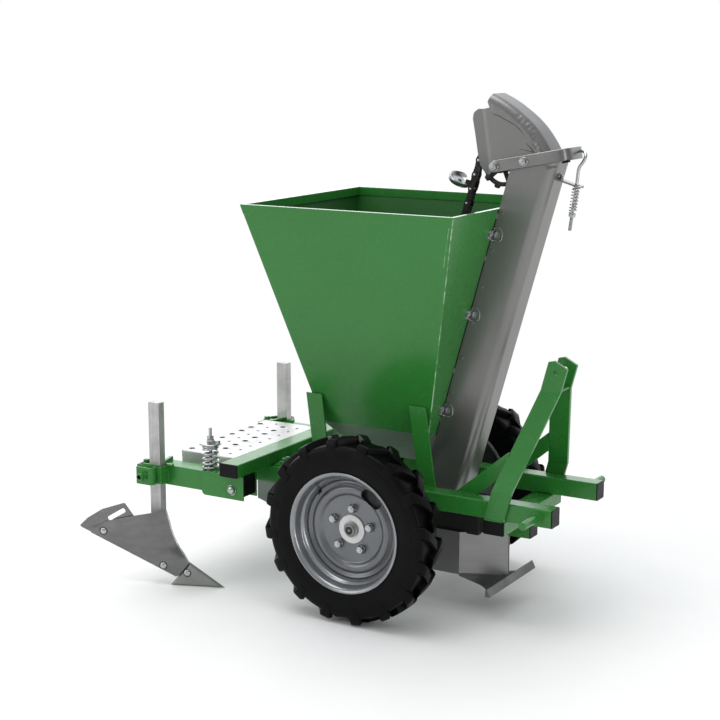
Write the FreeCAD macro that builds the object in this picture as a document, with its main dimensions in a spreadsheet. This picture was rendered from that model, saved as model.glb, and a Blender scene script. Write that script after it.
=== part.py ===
import FreeCAD, Part
import Sketcher
import math
import os

# Potato planter with a leaning cup elevator, mounted on a three-point headstock.
# Frame: +X forward (towards the hitch), -Y the right-hand side, +Z up, floor at Z = 0.
# Working coordinates have X = 0 at the wheel axle; shift_x moves the whole machine
# so that the middle of its length is at X = 0.

V = FreeCAD.Vector
doc = FreeCAD.newDocument("potato_planter")
sheet = doc.addObject("Spreadsheet::Sheet", "dims")

DIMS = [
    ("shift_x", 170.9), ("axle_z", 260.0), ("lean", 15.9),
    ("beam_in", 127.0), ("beam_out", 177.0), ("beam_low", 302.0), ("beam_top", 352.0),
    ("beam_rear", -426.0), ("beam_front", 519.0), ("beam_wall", 4.0), ("cap_thick", 3.0),
    ("cross_rear", 326.0), ("cross_front", 388.0), ("cross_low", 262.0), ("cross_half", 187.0),
    ("cross_wall", 3.0),
    ("toolbar_rear", -426.0), ("toolbar_front", -364.0), ("toolbar_low", 352.0),
    ("toolbar_top", 391.0), ("toolbar_half", 343.0),
    ("obar_rear", 170.0), ("obar_front", 390.0), ("obar_low", 212.0), ("obar_top", 247.0),
    ("obar_half", 25.0),
    ("mast_thick", 10.0), ("mast_out", 187.0), ("mast_ear", 38.0), ("mast_bend_low", 385.0),
    ("mast_bend_up", 638.0), ("toplink_x", 460.0), ("toplink_z", 690.0), ("toplink_r", 9.75),
    ("pin_x", 478.0), ("pin_z", 327.0), ("pin_r", 11.0), ("pin_end", 267.0), ("bush_r", 16.0),
    ("hop_t", 3.0), ("rim_z", 1121.5), ("rim_low", 1096.0), ("rim_rear", -366.0),
    ("rim_front", 292.9), ("rim_half", 314.0), ("hop_z", 487.0), ("hop_rear", -236.0),
    ("hop_front", 112.1), ("hop_half", 100.0),
    ("chute_z", 400.0), ("chute_rear", -125.0), ("chute_front", 87.7), ("chute_half", 60.0),
    ("leg_in", 130.0), ("leg_thick", 6.0), ("leg_top", 574.0),
    ("tube_half", 53.0), ("tube_t", 3.0), ("tube_rear", 46.0), ("tube_front", 165.0),
    ("tube_low", -60.0), ("sprocket_u", 1010.7), ("hood_skirt", 120.0),
    ("chain_r", 68.0), ("chain_t", 18.0), ("chain_half", 17.0),
    ("fold_r", 26.0), ("hood_cv", -101.2), ("hood_cu", -151.3), ("hood_r", 332.0), ("hood_fold", 12.0),
    ("lip_u", 59.0),
    ("cup_r", 35.0), ("cup_tall", 28.0), ("cup_v", 113.0),
    ("axle_r", 15.0), ("axle_half", 308.0),
    ("wheel_y", 328.0), ("wheel_r", 260.0), ("rim_r", 168.0), ("disc_y", 325.0),
    ("shoe_low", 88.0), ("shoe_half", 65.0), ("shoe_nose", 315.0), ("shoe_bend", 193.0),
    ("shoe_rear", -60.0), ("shoe_t", 3.0), ("lip_half", 147.0),
    ("saddle_rear", -505.0), ("saddle_front", -361.0), ("saddle_in", 253.5),
    ("saddle_out", 322.5), ("saddle_low", 282.0), ("saddle_t", 4.0),
    ("pivot_x", -401.0), ("pivot_z", 309.5), ("pivot_r", 8.0),
    ("arm_rear", -710.0), ("arm_front", -366.0), ("arm_in", 259.0), ("arm_out", 317.0),
    ("arm_low", 292.0), ("arm_top", 350.0), ("arm_wall", 4.0),
    ("rod_x", -497.0), ("rod_y", 288.0), ("rod_r", 5.0), ("rod_top", 473.0),
    ("spring_r", 25.0), ("spring_top", 423.5),
    ("shank_rear", -675.0), ("shank_front", -637.0), ("shank_in", 320.0), ("shank_out", 345.0),
    ("shank_low", 60.0), ("shank_top", 538.0),
    ("blade_x", -452.1), ("blade_y", 295.4), ("blade_angle", 20.8), ("blade_t", 5.0),
    ("plank_rear", -653.0), ("plank_front", -475.0), ("plank_half", 221.0),
    ("plank_top", 372.0), ("plank_low", 334.0), ("plank_t", 3.0),
]


class Q:
    """A length with its value and the sheet expression that gives it."""

    def __init__(self, v, e):
        self.v = float(v)
        self.e = e

    def __add__(self, o):
        o = q(o)
        return Q(self.v + o.v, "(%s + %s)" % (self.e, o.e))

    def __radd__(self, o):
        return q(o) + self

    def __sub__(self, o):
        o = q(o)
        return Q(self.v - o.v, "(%s - %s)" % (self.e, o.e))

    def __rsub__(self, o):
        return q(o) - self

    def __mul__(self, o):
        o = q(o)
        return Q(self.v * o.v, "(%s * %s)" % (self.e, o.e))

    def __rmul__(self, o):
        return q(o) * self

    def __truediv__(self, o):
        o = q(o)
        return Q(self.v / o.v, "(%s / %s)" % (self.e, o.e))

    def __neg__(self):
        return Q(-self.v, "(0 - %s)" % self.e)


def q(x):
    if isinstance(x, Q):
        return x
    if x < 0:
        return Q(x, "(0 - %r)" % (-float(x)))
    return Q(x, "%r" % float(x))


class Dims:
    pass


d = Dims()
for row, (name, value) in enumerate(DIMS, 1):
    sheet.set("A%d" % row, name)
    sheet.set("B%d" % row, str(value))
    sheet.setAlias("B%d" % row, name)
    setattr(d, name, Q(value, "dims.%s" % name))
doc.recompute()

SHIFT = d.shift_x.v


def bind(obj, prop, value):
    """Bind a property to the sheet."""
    value = q(value)
    obj.setExpression(prop, value.e)


def place(x=0, y=0, z=0, axis=None, angle=0.0):
    rot = FreeCAD.Rotation(V(*(axis or (0, 0, 1))), angle)
    return FreeCAD.Placement(V(SHIFT + q(x).v, q(y).v, q(z).v), rot)


def plane(body, role):
    for f in body.Origin.OriginFeatures:
        if f.Role == role:
            return f
    raise ValueError(role)


def sketch(body, role, loops, offset=0):
    """A sketch of closed polygons, with every corner dimensioned from the origin."""
    sk = body.newObject("Sketcher::SketchObject", body.Name + "_sketch")
    sk.AttachmentSupport = [(plane(body, role), "")]
    sk.MapMode = "FlatFace"
    off = q(offset)
    sk.AttachmentOffset = FreeCAD.Placement(V(0, 0, off.v), FreeCAD.Rotation())
    if isinstance(offset, Q):
        sk.setExpression("AttachmentOffset.Base.z", off.e)
    k = 0
    for loop in loops:
        pts = [(q(a), q(b)) for a, b in loop]
        n = len(pts)
        first = k
        geo = []
        for i in range(n):
            p, r = pts[i], pts[(i + 1) % n]
            geo.append(Part.LineSegment(V(p[0].v, p[1].v, 0), V(r[0].v, r[1].v, 0)))
        sk.addGeometry(geo, False)
        cons = []
        for i in range(n):
            cons.append(Sketcher.Constraint("Coincident", first + i, 2, first + (i + 1) % n, 1))
        sk.addConstraint(cons)
        for i, (px, py) in enumerate(pts):
            for kind, val in (("DistanceX", px), ("DistanceY", py)):
                c = sk.addConstraint(Sketcher.Constraint(kind, -1, 1, first + i, 1, val.v))
                if "dims." in val.e:
                    sk.setExpression("Constraints[%d]" % c, val.e)
        k += n
    return sk


def body(name, label=None):
    b = doc.addObject("PartDesign::Body", name)
    b.Label = label or name
    return b


def prism(name, role, loops, lo, hi, at=None, label=None):
    """A padded sketch between two distances along the axis of its plane."""
    b = body(name, label)
    if not isinstance(loops[0][0], (tuple, list)):
        loops = [loops]
    lo, hi = q(lo), q(hi)
    off = -hi if role == "XZ_Plane" else lo
    sk = sketch(b, role, loops, off)
    pad = b.newObject("PartDesign::Pad", name + "_pad")
    pad.Profile = sk
    pad.Length = hi.v - lo.v
    bind(pad, "Length", hi - lo)
    b.Placement = at or place()
    sk.Visibility = False
    return b


def rect(x0, y0, x1, y1):
    return [(x0, y0), (x1, y0), (x1, y1), (x0, y1)]


def box(name, x0, x1, y0, y1, z0, z1, label=None):
    o = doc.addObject("Part::Box", name)
    o.Label = label or name
    x0, x1, y0, y1, z0, z1 = [q(t) for t in (x0, x1, y0, y1, z0, z1)]
    o.Length, o.Width, o.Height = x1.v - x0.v, y1.v - y0.v, z1.v - z0.v
    bind(o, "Length", x1 - x0)
    bind(o, "Width", y1 - y0)
    bind(o, "Height", z1 - z0)
    o.Placement = place(x0, y0, z0)
    return o


def box_at(name, x0, x1, y0, y1, z0, z1, frame):
    """A box given in a local frame."""
    o = box(name, x0, x1, y0, y1, z0, z1)
    o.Placement = frame.multiply(FreeCAD.Placement(V(q(x0).v, q(y0).v, q(z0).v), FreeCAD.Rotation()))
    return o


def cyl(name, r, length, x, y, z, axis="Y", label=None, frame=None):
    """A cylinder that starts at x, y, z and runs along the positive axis."""
    o = doc.addObject("Part::Cylinder", name)
    o.Label = label or name
    r, length = q(r), q(length)
    o.Radius, o.Height = r.v, length.v
    bind(o, "Radius", r)
    bind(o, "Height", length)
    rot = {"Z": FreeCAD.Rotation(), "Y": FreeCAD.Rotation(V(1, 0, 0), -90),
           "X": FreeCAD.Rotation(V(0, 1, 0), 90)}[axis]
    local = FreeCAD.Placement(V(q(x).v, q(y).v, q(z).v), rot)
    if frame is None:
        frame = place()
    o.Placement = frame.multiply(local)
    return o


def cut(name, base, tools, label=None):
    if isinstance(tools, (list, tuple)):
        tool = tools[0] if len(tools) == 1 else fuse(name + "_tools", tools)
    else:
        tool = tools
    o = doc.addObject("Part::Cut", name)
    o.Label = label or name
    o.Base, o.Tool = base, tool
    return o


def fuse(name, shapes, label=None):
    o = doc.addObject("Part::MultiFuse", name)
    o.Label = label or name
    o.Shapes = list(shapes)
    return o


def common(name, a, b, label=None):
    o = doc.addObject("Part::Common", name)
    o.Label = label or name
    o.Base, o.Tool = a, b
    return o


def mirror(name, src, label=None):
    o = doc.addObject("Part::Mirroring", name)
    o.Label = label or name
    o.Source = src
    o.Normal = V(0, 1, 0)
    o.Base = V(0, 0, 0)
    return o


def group(name, links, label=None):
    o = doc.addObject("Part::Compound", name)
    o.Label = label or name
    o.Links = list(links)
    return o


def pair(name, right):
    """Both sides of the machine in one node."""
    return group(name, [right, mirror(name + "_l", right)])


def revolve(name, loops, at, angle=360.0, reversed_=False):
    """A section in X and Y turned about the local Y axis."""
    b = body(name)
    sk = sketch(b, "XY_Plane", loops)
    r = b.newObject("PartDesign::Revolution", name + "_turn")
    r.Profile = sk
    r.ReferenceAxis = (sk, ["V_Axis"])
    r.Angle = angle
    r.Reversed = reversed_
    b.Placement = at
    return b


def frustum(name, low, z0, high, z1):
    """A loft between two level rectangles (rear, front, half width)."""
    b = body(name)
    sks = []
    for i, ((xr, xf, hw), z) in enumerate(((low, z0), (high, z1))):
        hw = q(hw)
        sks.append(sketch(b, "XY_Plane", [rect(xr, -hw, xf, hw)], z))
    loft = b.newObject("PartDesign::AdditiveLoft", name + "_loft")
    loft.Profile = sks[0]
    loft.Sections = [sks[1]]
    loft.Ruled = True
    b.Placement = place()
    return b


nodes = {}


def node(name, obj):
    obj.Label = name
    nodes[name] = obj
    return obj


lean = d.lean.v
sn, cs = math.sin(math.radians(lean)), math.cos(math.radians(lean))
# Elevator frame: local X forward across the casing, local Z up along it, origin on the axle.
ELEV = place(0, 0, d.axle_z, (0, 1, 0), lean)
TOPX = d.sprocket_u.v * sn
TOPZ = d.axle_z.v + d.sprocket_u.v * cs
HEAD = place(TOPX, 0, TOPZ, (0, 1, 0), lean)

# ---------------------------------------------------------------- main frame
bw = d.beam_wall
beam = prism("beam_r", "YZ_Plane", [
    rect(-d.beam_out, d.beam_low, -d.beam_in, d.beam_top),
    rect(-d.beam_out + bw, d.beam_low + bw, -d.beam_in - bw, d.beam_top - bw)],
    d.beam_rear, d.beam_front)
node("main_beams", pair("main_beams", beam))

cw = d.cross_wall
node("front_crossbeam", prism("front_crossbeam", "XZ_Plane", [
    rect(d.cross_rear, d.cross_low, d.cross_front, d.beam_low),
    rect(d.cross_rear + cw, d.cross_low + cw, d.cross_front - cw, d.beam_low - cw)],
    -d.cross_half, d.cross_half))

toolbar = prism("toolbar_tube", "XZ_Plane", [
    rect(d.toolbar_rear, d.toolbar_low, d.toolbar_front, d.toolbar_top),
    rect(d.toolbar_rear + cw, d.toolbar_low + cw, d.toolbar_front - cw, d.toolbar_top - cw)],
    -d.toolbar_half, d.toolbar_half)
br = box("plank_arm_r", d.plank_rear + 4, d.toolbar_rear, -152, -140, 356, d.plank_top - d.plank_t)
node("rear_crossbeam", fuse("rear_crossbeam", [toolbar, br, mirror("plank_arm_l", br)]))

obar = prism("opener_tube", "YZ_Plane", [
    rect(-d.obar_half, d.obar_low, d.obar_half, d.obar_top),
    rect(-d.obar_half + cw, d.obar_low + cw, d.obar_half - cw, d.obar_top - cw)],
    d.obar_rear, d.obar_front)
oblk = box("opener_block", 335, 380, -d.obar_half, d.obar_half, d.obar_top, d.cross_low)
node("opener_bar", fuse("opener_bar", [obar, oblk]))

# black plastic caps on the open tube ends
ct = d.cap_thick
caps = [
    box("cap_a", d.beam_front, d.beam_front + ct, -d.beam_out, -d.beam_in, d.beam_low, d.beam_top),
    box("cap_b", d.cross_rear, d.cross_front, -d.cross_half - ct, -d.cross_half, d.cross_low, d.beam_low),
    box("cap_c", d.toolbar_rear, d.toolbar_front, -d.toolbar_half - ct, -d.toolbar_half,
        d.toolbar_low, d.toolbar_top)]
caps += [mirror(c.Name + "_l", c) for c in caps]
caps.append(box("cap_d", d.obar_front, d.obar_front + ct, -d.obar_half, d.obar_half, d.obar_low, d.obar_top))
node("end_caps", group("end_caps", caps))

# ---------------------------------------------------------------- headstock
side = prism("mast_side", "XZ_Plane", [
    (327.5, 302.0), (386.4, 302.0), (493.6, 702.0), (456.0, 722.0), (438.9, 718.0)], -200, 0)
mt, mo, me = d.mast_thick, d.mast_out, d.mast_ear
front = prism("mast_front", "YZ_Plane", [
    (-mo, 302.0), (-mo + mt, 302.0), (-mo + mt, d.mast_bend_low - 2.7),
    (-me + mt, d.mast_bend_up - 2.8), (-me + mt, 725.0), (-me, 725.0),
    (-me, d.mast_bend_up), (-mo, d.mast_bend_low)], 320, 500)
mast = common("mast_bar", side, front)
hole = cyl("toplink_hole", d.toplink_r, 60, d.toplink_x, -60, d.toplink_z)
mast = cut("mast_r", mast, [hole])
node("headstock_bars", pair("headstock_bars", mast))
node("headstock_spacer", box("headstock_spacer", 436, 474, -d.mast_ear + 10, d.mast_ear - 10, 637, 643))
brace = prism("brace_r", "XZ_Plane", [(155.0, 352.0), (217.0, 352.0), (364.5, 440.5), (376.4, 484.9)],
              -138, -130)
node("headstock_braces", pair("headstock_braces", brace))
pin = fuse("pin_r_body", [
    cyl("pin_bush", d.bush_r, 12, d.pin_x, -189, d.pin_z),
    cyl("pin_shaft", d.pin_r, d.pin_end - 189, d.pin_x, -d.pin_end, d.pin_z)])
node("hitch_pins", pair("hitch_pins", pin))

# ---------------------------------------------------------------- hopper
t = d.hop_t
# the front wall lies in the plane of the elevator's back
kf = (d.rim_front - d.hop_front) / (d.rim_z - d.hop_z)
kr = (d.rim_rear - d.hop_rear) / (d.rim_z - d.hop_z)
ks = (d.rim_half - d.hop_half) / (d.rim_z - d.hop_z)
drop = d.rim_z - d.rim_low
lf, lr, lh = d.rim_front - kf * drop, d.rim_rear - kr * drop, d.rim_half - ks * drop
outer = frustum("hopper_outer", (d.hop_rear, d.hop_front, d.hop_half), d.hop_z, (lr, lf, lh), d.rim_low)
inner = frustum("hopper_inner", (d.hop_rear + t, d.hop_front - t, d.hop_half - t), d.hop_z,
                (lr + t, lf - t, lh - t), d.rim_low)
shell = cut("hopper_shell", outer, [inner])
fslab = prism("hopper_fslab", "XZ_Plane", [
    (d.hop_front - t, d.hop_z), (d.hop_front + 2, d.hop_z), (lf + 2, d.rim_low), (lf - t, d.rim_low)],
    -320, 320)
rslab = prism("hopper_rslab", "XZ_Plane", [
    (d.hop_rear - 2, d.hop_z), (d.hop_rear + t, d.hop_z), (lr + t, d.rim_low), (lr - 2, d.rim_low)],
    -320, 320)
node("hopper_front_panel", common("hopper_front_panel", shell, fslab))
node("hopper_rear_panel", common("hopper_rear_panel", shell, rslab))
ends = fuse("hopper_ends", [fslab, rslab])
node("hopper_sides", cut("hopper_sides", shell, ends))
rim_out = frustum("rim_outer", (lr, lf, lh), d.rim_low, (d.rim_rear, d.rim_front, d.rim_half), d.rim_z)
rim_in = frustum("rim_inner", (lr + 9, lf - 9, lh - 9), d.rim_low,
                 (d.rim_rear + 9, d.rim_front - 9, d.rim_half - 9), d.rim_z)
node("hopper_rim", cut("hopper_rim", rim_out, [rim_in]))
ch_out = frustum("chute_outer", (d.chute_rear, d.chute_front, d.chute_half), d.chute_z,
                 (d.hop_rear, d.hop_front, d.hop_half), d.hop_z)
ch_in = frustum("chute_inner", (d.chute_rear + t, d.chute_front - t, d.chute_half - t), d.chute_z,
                (d.hop_rear + t, d.hop_front - t, d.hop_half - t), d.hop_z)
node("hopper_chute", cut("hopper_chute", ch_out, [ch_in]))
legs = []
for i, pts in enumerate(([(67.0, d.leg_top), (119.0, d.leg_top), (152.0, d.beam_top), (102.0, d.beam_top)],
                         [(-268.0, d.leg_top), (-216.0, d.leg_top), (-189.0, d.beam_top), (-238.0, d.beam_top)])):
    leg = prism("leg_%d" % i, "XZ_Plane", pts, -d.leg_in - d.leg_thick, -d.leg_in)
    legs += [leg, mirror("leg_%d_l" % i, leg)]
node("hopper_legs", group("hopper_legs", legs))

# ---------------------------------------------------------------- axle
node("axle", cyl("axle", d.axle_r, 2 * d.axle_half, 0, -d.axle_half, d.axle_z))
blk = box("bearing_blank", -45, 45, -167, -137, 222, d.beam_low)
bore = cyl("bearing_bore", d.axle_r, 60, 0, -180, d.axle_z)
node("axle_bearings", pair("axle_bearings", cut("bearing_r", blk, [bore])))

# ---------------------------------------------------------------- elevator
tt = d.tube_t
fr, to, tf = d.fold_r, d.tube_rear, d.tube_front


def channel(name, wall):
    """The casing's outline, with its two front folds rounded, shrunk by this much."""
    w, y = q(wall), d.tube_half - d.fold_r
    return fuse(name, [
        box_at(name + "_a", to + w, tf - fr, -d.tube_half + w, d.tube_half - w, d.tube_low, d.sprocket_u, ELEV),
        box_at(name + "_b", to + w, tf - w, -y, y, d.tube_low, d.sprocket_u, ELEV),
        cyl(name + "_c", fr - w, d.sprocket_u - d.tube_low, tf - fr, -y, d.tube_low, "Z", frame=ELEV),
        cyl(name + "_d", fr - w, d.sprocket_u - d.tube_low, tf - fr, y, d.tube_low, "Z", frame=ELEV)])


tube = cut("tube_section", channel("tube_outer", 0), [channel("tube_inner", tt)])
win_low = box_at("tube_window_low", 40, 60, -d.tube_half + tt, d.tube_half - tt, d.tube_low - 5, 110, ELEV)
win_top = box_at("tube_window_top", 40, 60, -d.tube_half + tt, d.tube_half - tt, 962, 1020, ELEV)
node("elevator_tube", cut("elevator_tube", tube, [win_low, win_top]))
hs = d.hood_skirt
HOODC = HEAD.multiply(FreeCAD.Placement(V(d.hood_cv.v, 0, d.hood_cu.v), FreeCAD.Rotation(V(0, 0, 1), 0)))


def ring_solid(name, wall):
    """The hood's outline turned about the centre of its own, flatter curve, shrunk by this much."""
    w, y = q(wall), d.tube_half - d.hood_fold
    parts = [
        cyl(name + "_a", d.hood_r - d.hood_fold, 2 * (d.tube_half - w), 0, -d.tube_half + w, 0, "Y", frame=HOODC),
        cyl(name + "_b", d.hood_r - w, 2 * y, 0, -y, 0, "Y", frame=HOODC)]
    for tag, sy in (("_c", -1), ("_d", 1)):
        o = doc.addObject("Part::Torus", name + tag)
        o.Radius1, o.Radius2 = (d.hood_r - d.hood_fold).v, (d.hood_fold - w).v
        bind(o, "Radius1", d.hood_r - d.hood_fold)
        bind(o, "Radius2", d.hood_fold - w)
        o.Placement = HOODC.multiply(FreeCAD.Placement(V(0, sy * y.v, 0), FreeCAD.Rotation(V(1, 0, 0), -90)))
        parts.append(o)
    return fuse(name, parts)


wedge_turn = HEAD.multiply(FreeCAD.Placement(V(0, 0, 0), FreeCAD.Rotation(V(0, 1, 0), -17.5)))
wedge = revolve("hood_wedge", [[(hs, -60), (200, -60), (200, 60), (hs, 60)]], wedge_turn, 93.0, True)
hood = common("hood_bend", cut("hood_skin", ring_solid("hood_outer", 0), [ring_solid("hood_inner", tt)]), wedge)
lip_box = box_at("casing_lip_box", 121, 170, -60, 60, 0, d.lip_u, HEAD)


def lip_section(name, wall):
    """The casing's front folds carried on past the top shaft."""
    w, y = q(wall), d.tube_half - d.fold_r
    return fuse(name, [
        box_at(name + "_a", 100, tf - fr, -d.tube_half + w, d.tube_half - w, -1, 80, HEAD),
        box_at(name + "_b", 100, tf - w, -y, y, -1, 80, HEAD),
        cyl(name + "_c", fr - w, 81, tf - fr, -y, -1, "Z", frame=HEAD),
        cyl(name + "_d", fr - w, 81, tf - fr, y, -1, "Z", frame=HEAD)])


lip = common("casing_lip", cut("casing_lip_shell", lip_section("lip_outer", 0), [lip_section("lip_inner", tt)]),
             lip_box)
ledge = box_at("rod_ledge", d.tube_front - 2, 232, -20, 20, 13, 18, HEAD)
ledge_hole = cyl("rod_ledge_hole", 7.5, 60, 490.5, 0, 1160, "Z")
node("elevator_hood", cut("elevator_hood", fuse("hood_with_ledge", [hood, lip, ledge]), [ledge_hole]))

cheek = prism("cheek_plate", "XZ_Plane", [
    (226.7, 1230.8), (207.5, 1363.6), (217.6, 1379.0), (263.0, 1389.0), (331.0, 1378.0),
    (387.0, 1342.0), (424.0, 1286.0), (433.0, 1232.0), (400.0, 1200.0), (261.0, 1201.7), (240.7, 1213.0)],
    -d.tube_half + tt, -d.tube_half + 2 * tt)
cheek_hole = cyl("cheek_hole", 12, 20, TOPX, -60, TOPZ)
cheek_clear = revolve("cheek_clear", [[(136.0, -60), (200, -60), (200, -40), (136.0, -40)]], HEAD, 111.5, True)
node("elevator_cheeks", pair("elevator_cheeks", cut("cheek_r", cheek, [cheek_hole, cheek_clear])))

ch, ct2, cr = d.chain_half, d.chain_t, d.chain_r
loop = []
for tag, r in (("o", cr + ct2 / 2), ("i", cr - ct2 / 2)):
    loop.append(fuse("chain_%s" % tag, [
        cyl("chain_%s_low" % tag, r, 2 * ch, 0, -ch, 0, "Y", frame=ELEV),
        cyl("chain_%s_top" % tag, r, 2 * ch, 0, -ch, 0, "Y", frame=HEAD),
        box_at("chain_%s_run" % tag, -r, r, -ch, ch, 0, d.sprocket_u, ELEV)]))
node("elevator_chain", cut("elevator_chain", loop[0], [loop[1]]))

# cups, set along the chain: the climbing side, one over the top and two low down
cups = []
spots = [("r%d" % i, None, u) for i, u in enumerate((84.0, 254.0, 424.0, 594.0, 764.0, 934.0))]
spots += [("top", 101.4, None), ("f0", "down", 111.0), ("low", -49.7, None)]
for tag, ang, u in spots:
    if ang is None:
        fr = ELEV.multiply(FreeCAD.Placement(V(0, 0, u), FreeCAD.Rotation(V(0, 0, 1), 180)))
    elif ang == "down":
        fr = ELEV.multiply(FreeCAD.Placement(V(0, 0, u), FreeCAD.Rotation(V(1, 0, 0), 180)))
    else:
        base = HEAD if tag == "top" else ELEV
        # local X points radially, local Z along the travel
        fr = base.multiply(FreeCAD.Placement(V(0, 0, 0), FreeCAD.Rotation(V(0, 1, 0), -ang)))
        fr = fr.multiply(FreeCAD.Placement(V(0, 0, 0), FreeCAD.Rotation(V(1, 0, 0), 180)))
    ht = d.cup_tall
    ring = cyl("cup_%s_o" % tag, d.cup_r, ht, d.cup_v, 0, -ht / 2, "Z", frame=fr)
    hollow = cyl("cup_%s_i" % tag, d.cup_r - 3, ht, d.cup_v, 0, -ht / 2 + 4, "Z", frame=fr)
    foot = box_at("cup_%s_f" % tag, cr + ct2 / 2, d.cup_v - d.cup_r + 3, -8, 8, -10, 10, fr)
    cups.append(cut("cup_%s" % tag, fuse("cup_%s_b" % tag, [ring, foot]), [hollow]))
node("elevator_cups", group("elevator_cups", cups))

sr = cr - ct2 / 2 - 1
low = cut("sprocket_low", fuse("sprocket_low_b", [
    cyl("sprocket_low_d", sr, 6, 0, -3, d.axle_z), cyl("sprocket_low_h", 26, 40, 0, -20, d.axle_z)]),
    [cyl("sprocket_low_bore", d.axle_r, 60, 0, -30, d.axle_z)])
top = fuse("sprocket_top", [
    cyl("sprocket_top_d", sr, 6, TOPX, -3, TOPZ), cyl("sprocket_top_h", 20, 50, TOPX, -25, TOPZ),
    cyl("sprocket_top_s", 8, 136, TOPX, -68, TOPZ)])
node("elevator_sprockets", group("elevator_sprockets", [low, top]))

# chain tensioner: a U-shaped lever over the casing, pulled down by a rod and spring
YOKE = place(TOPX, 0, TOPZ, (0, 1, 0), -10.8)
yoke = prism("yoke_u", "XY_Plane", [
    (-18.0, -62.0), (222.0, -62.0), (222.0, 62.0), (-18.0, 62.0), (-18.0, 56.0), (216.0, 56.0),
    (216.0, -56.0), (-18.0, -56.0)], -16, 16, at=YOKE)
bolt = cyl("yoke_bolt", 7, 16, 85, -66, 0, "Y", frame=YOKE)
bolt_l = cyl("yoke_bolt_l", 7, 16, 85, 50, 0, "Y", frame=YOKE)
yhole = cyl("yoke_hole", 8, 140, 0, -70, 0, "Y", frame=YOKE)
node("tension_yoke", cut("tension_yoke", fuse("yoke_b", [yoke, bolt, bolt_l]), [yhole]))
line = [(474.3, 1068.5), (490.1, 1184.0), (495.9, 1232.0), (508.0, 1250.0), (513.0, 1262.0), (509.5, 1270.5),
        (501.5, 1276.5)]


def rod_piece(name, r, p, s, e):
    """A round bar between distances s and e along the line from point p to the next."""
    (x0, z0), (x1, z1) = line[p], line[p + 1]
    deg = math.degrees(math.atan2(x1 - x0, z1 - z0))
    return cyl(name, r, e - s, 0, 0, s, "Z", frame=place(x0, 0, z0, (0, 1, 0), deg))


bits = []
for i in range(len(line) - 1):
    full = math.hypot(line[i + 1][0] - line[i][0], line[i + 1][1] - line[i][1])
    bits.append(rod_piece("trod_%d" % i, 4.5, i, 0, full + (1.5 if i < len(line) - 2 else 0)))
bits.append(rod_piece("trod_spring", 11, 0, 49, 112))
bits.append(rod_piece("trod_nut", 9, 0, 37, 49))
rod = fuse("tension_rod", bits)
node("tension_rod", rod)

# ---------------------------------------------------------------- furrow opener
sh, st = d.shoe_half, d.shoe_t
node("opener_box", prism("opener_box", "XY_Plane", [
    (d.shoe_rear, -sh), (d.shoe_bend, -sh), (d.shoe_nose, 0), (d.shoe_bend, sh), (d.shoe_rear, sh),
    (d.shoe_rear, sh - st), (d.shoe_bend - 1, sh - st), (d.shoe_nose - 6.5, 0),
    (d.shoe_bend - 1, -sh + st), (d.shoe_rear, -sh + st)], d.shoe_low, d.obar_low))
sole = prism("sole_plate", "XY_Plane", [
    (d.shoe_bend, -sh), (318, -d.lip_half), (318, d.lip_half), (d.shoe_bend, sh)],
    d.shoe_low - 4, d.shoe_low)
lip = prism("sole_lip", "XZ_Plane", [(316, 88), (320, 92), (331, 70), (326, 68)], -d.lip_half, d.lip_half)
node("opener_sole", fuse("opener_sole", [sole, lip]))
guard = prism("guard_r", "XZ_Plane", [
    (-428, 302), (-428, 241), (-180, 168), (-150, 168), (-150, 302)], -154, -150)
node("soil_guards", pair("soil_guards", guard))

# ---------------------------------------------------------------- step plank
pt = d.plank_t
pl = [box("plank_deck", d.plank_rear, d.plank_front, -d.plank_half, d.plank_half, d.plank_top - pt, d.plank_top),
      box("plank_back", d.plank_rear, d.plank_rear + pt, -d.plank_half, d.plank_half, d.plank_low, d.plank_top),
      box("plank_end", d.plank_rear, d.plank_front, -d.plank_half, -d.plank_half + pt, d.plank_low, d.plank_top)]
pl.append(mirror("plank_end_l", pl[2]))
node("step_plank", fuse("step_plank", pl))

# ---------------------------------------------------------------- spring-loaded ridger arms
s_t = d.saddle_t
sad = fuse("saddle_b", [
    box("saddle_out", d.saddle_rear, d.saddle_front, -d.saddle_out, -d.saddle_out + s_t, d.saddle_low, d.toolbar_low),
    box("saddle_in", d.saddle_rear, d.saddle_front, -d.saddle_in - s_t, -d.saddle_in, d.saddle_low, d.toolbar_low),
    box("saddle_bot", d.saddle_rear, -425, -d.saddle_out, -d.saddle_in, d.saddle_low, d.saddle_low + s_t),
    cyl("saddle_bolt", d.pivot_r, 80, d.pivot_x, -330, d.pivot_z),
    cyl("saddle_head", 13, 7, d.pivot_x, -329.5, d.pivot_z)])
node("arm_saddles", pair("arm_saddles", sad))
rods = fuse("spring_rod_r", [
    cyl("srod", d.rod_r, d.rod_top - (d.saddle_low + s_t), d.rod_x, -d.rod_y, d.saddle_low + s_t, "Z"),
    cyl("srod_washer", 32, 5, d.rod_x, -d.rod_y, 424, "Z"),
    cyl("srod_nut", 9, 14, d.rod_x, -d.rod_y, 429, "Z")])
node("spring_rods", pair("spring_rods", rods))

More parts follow.
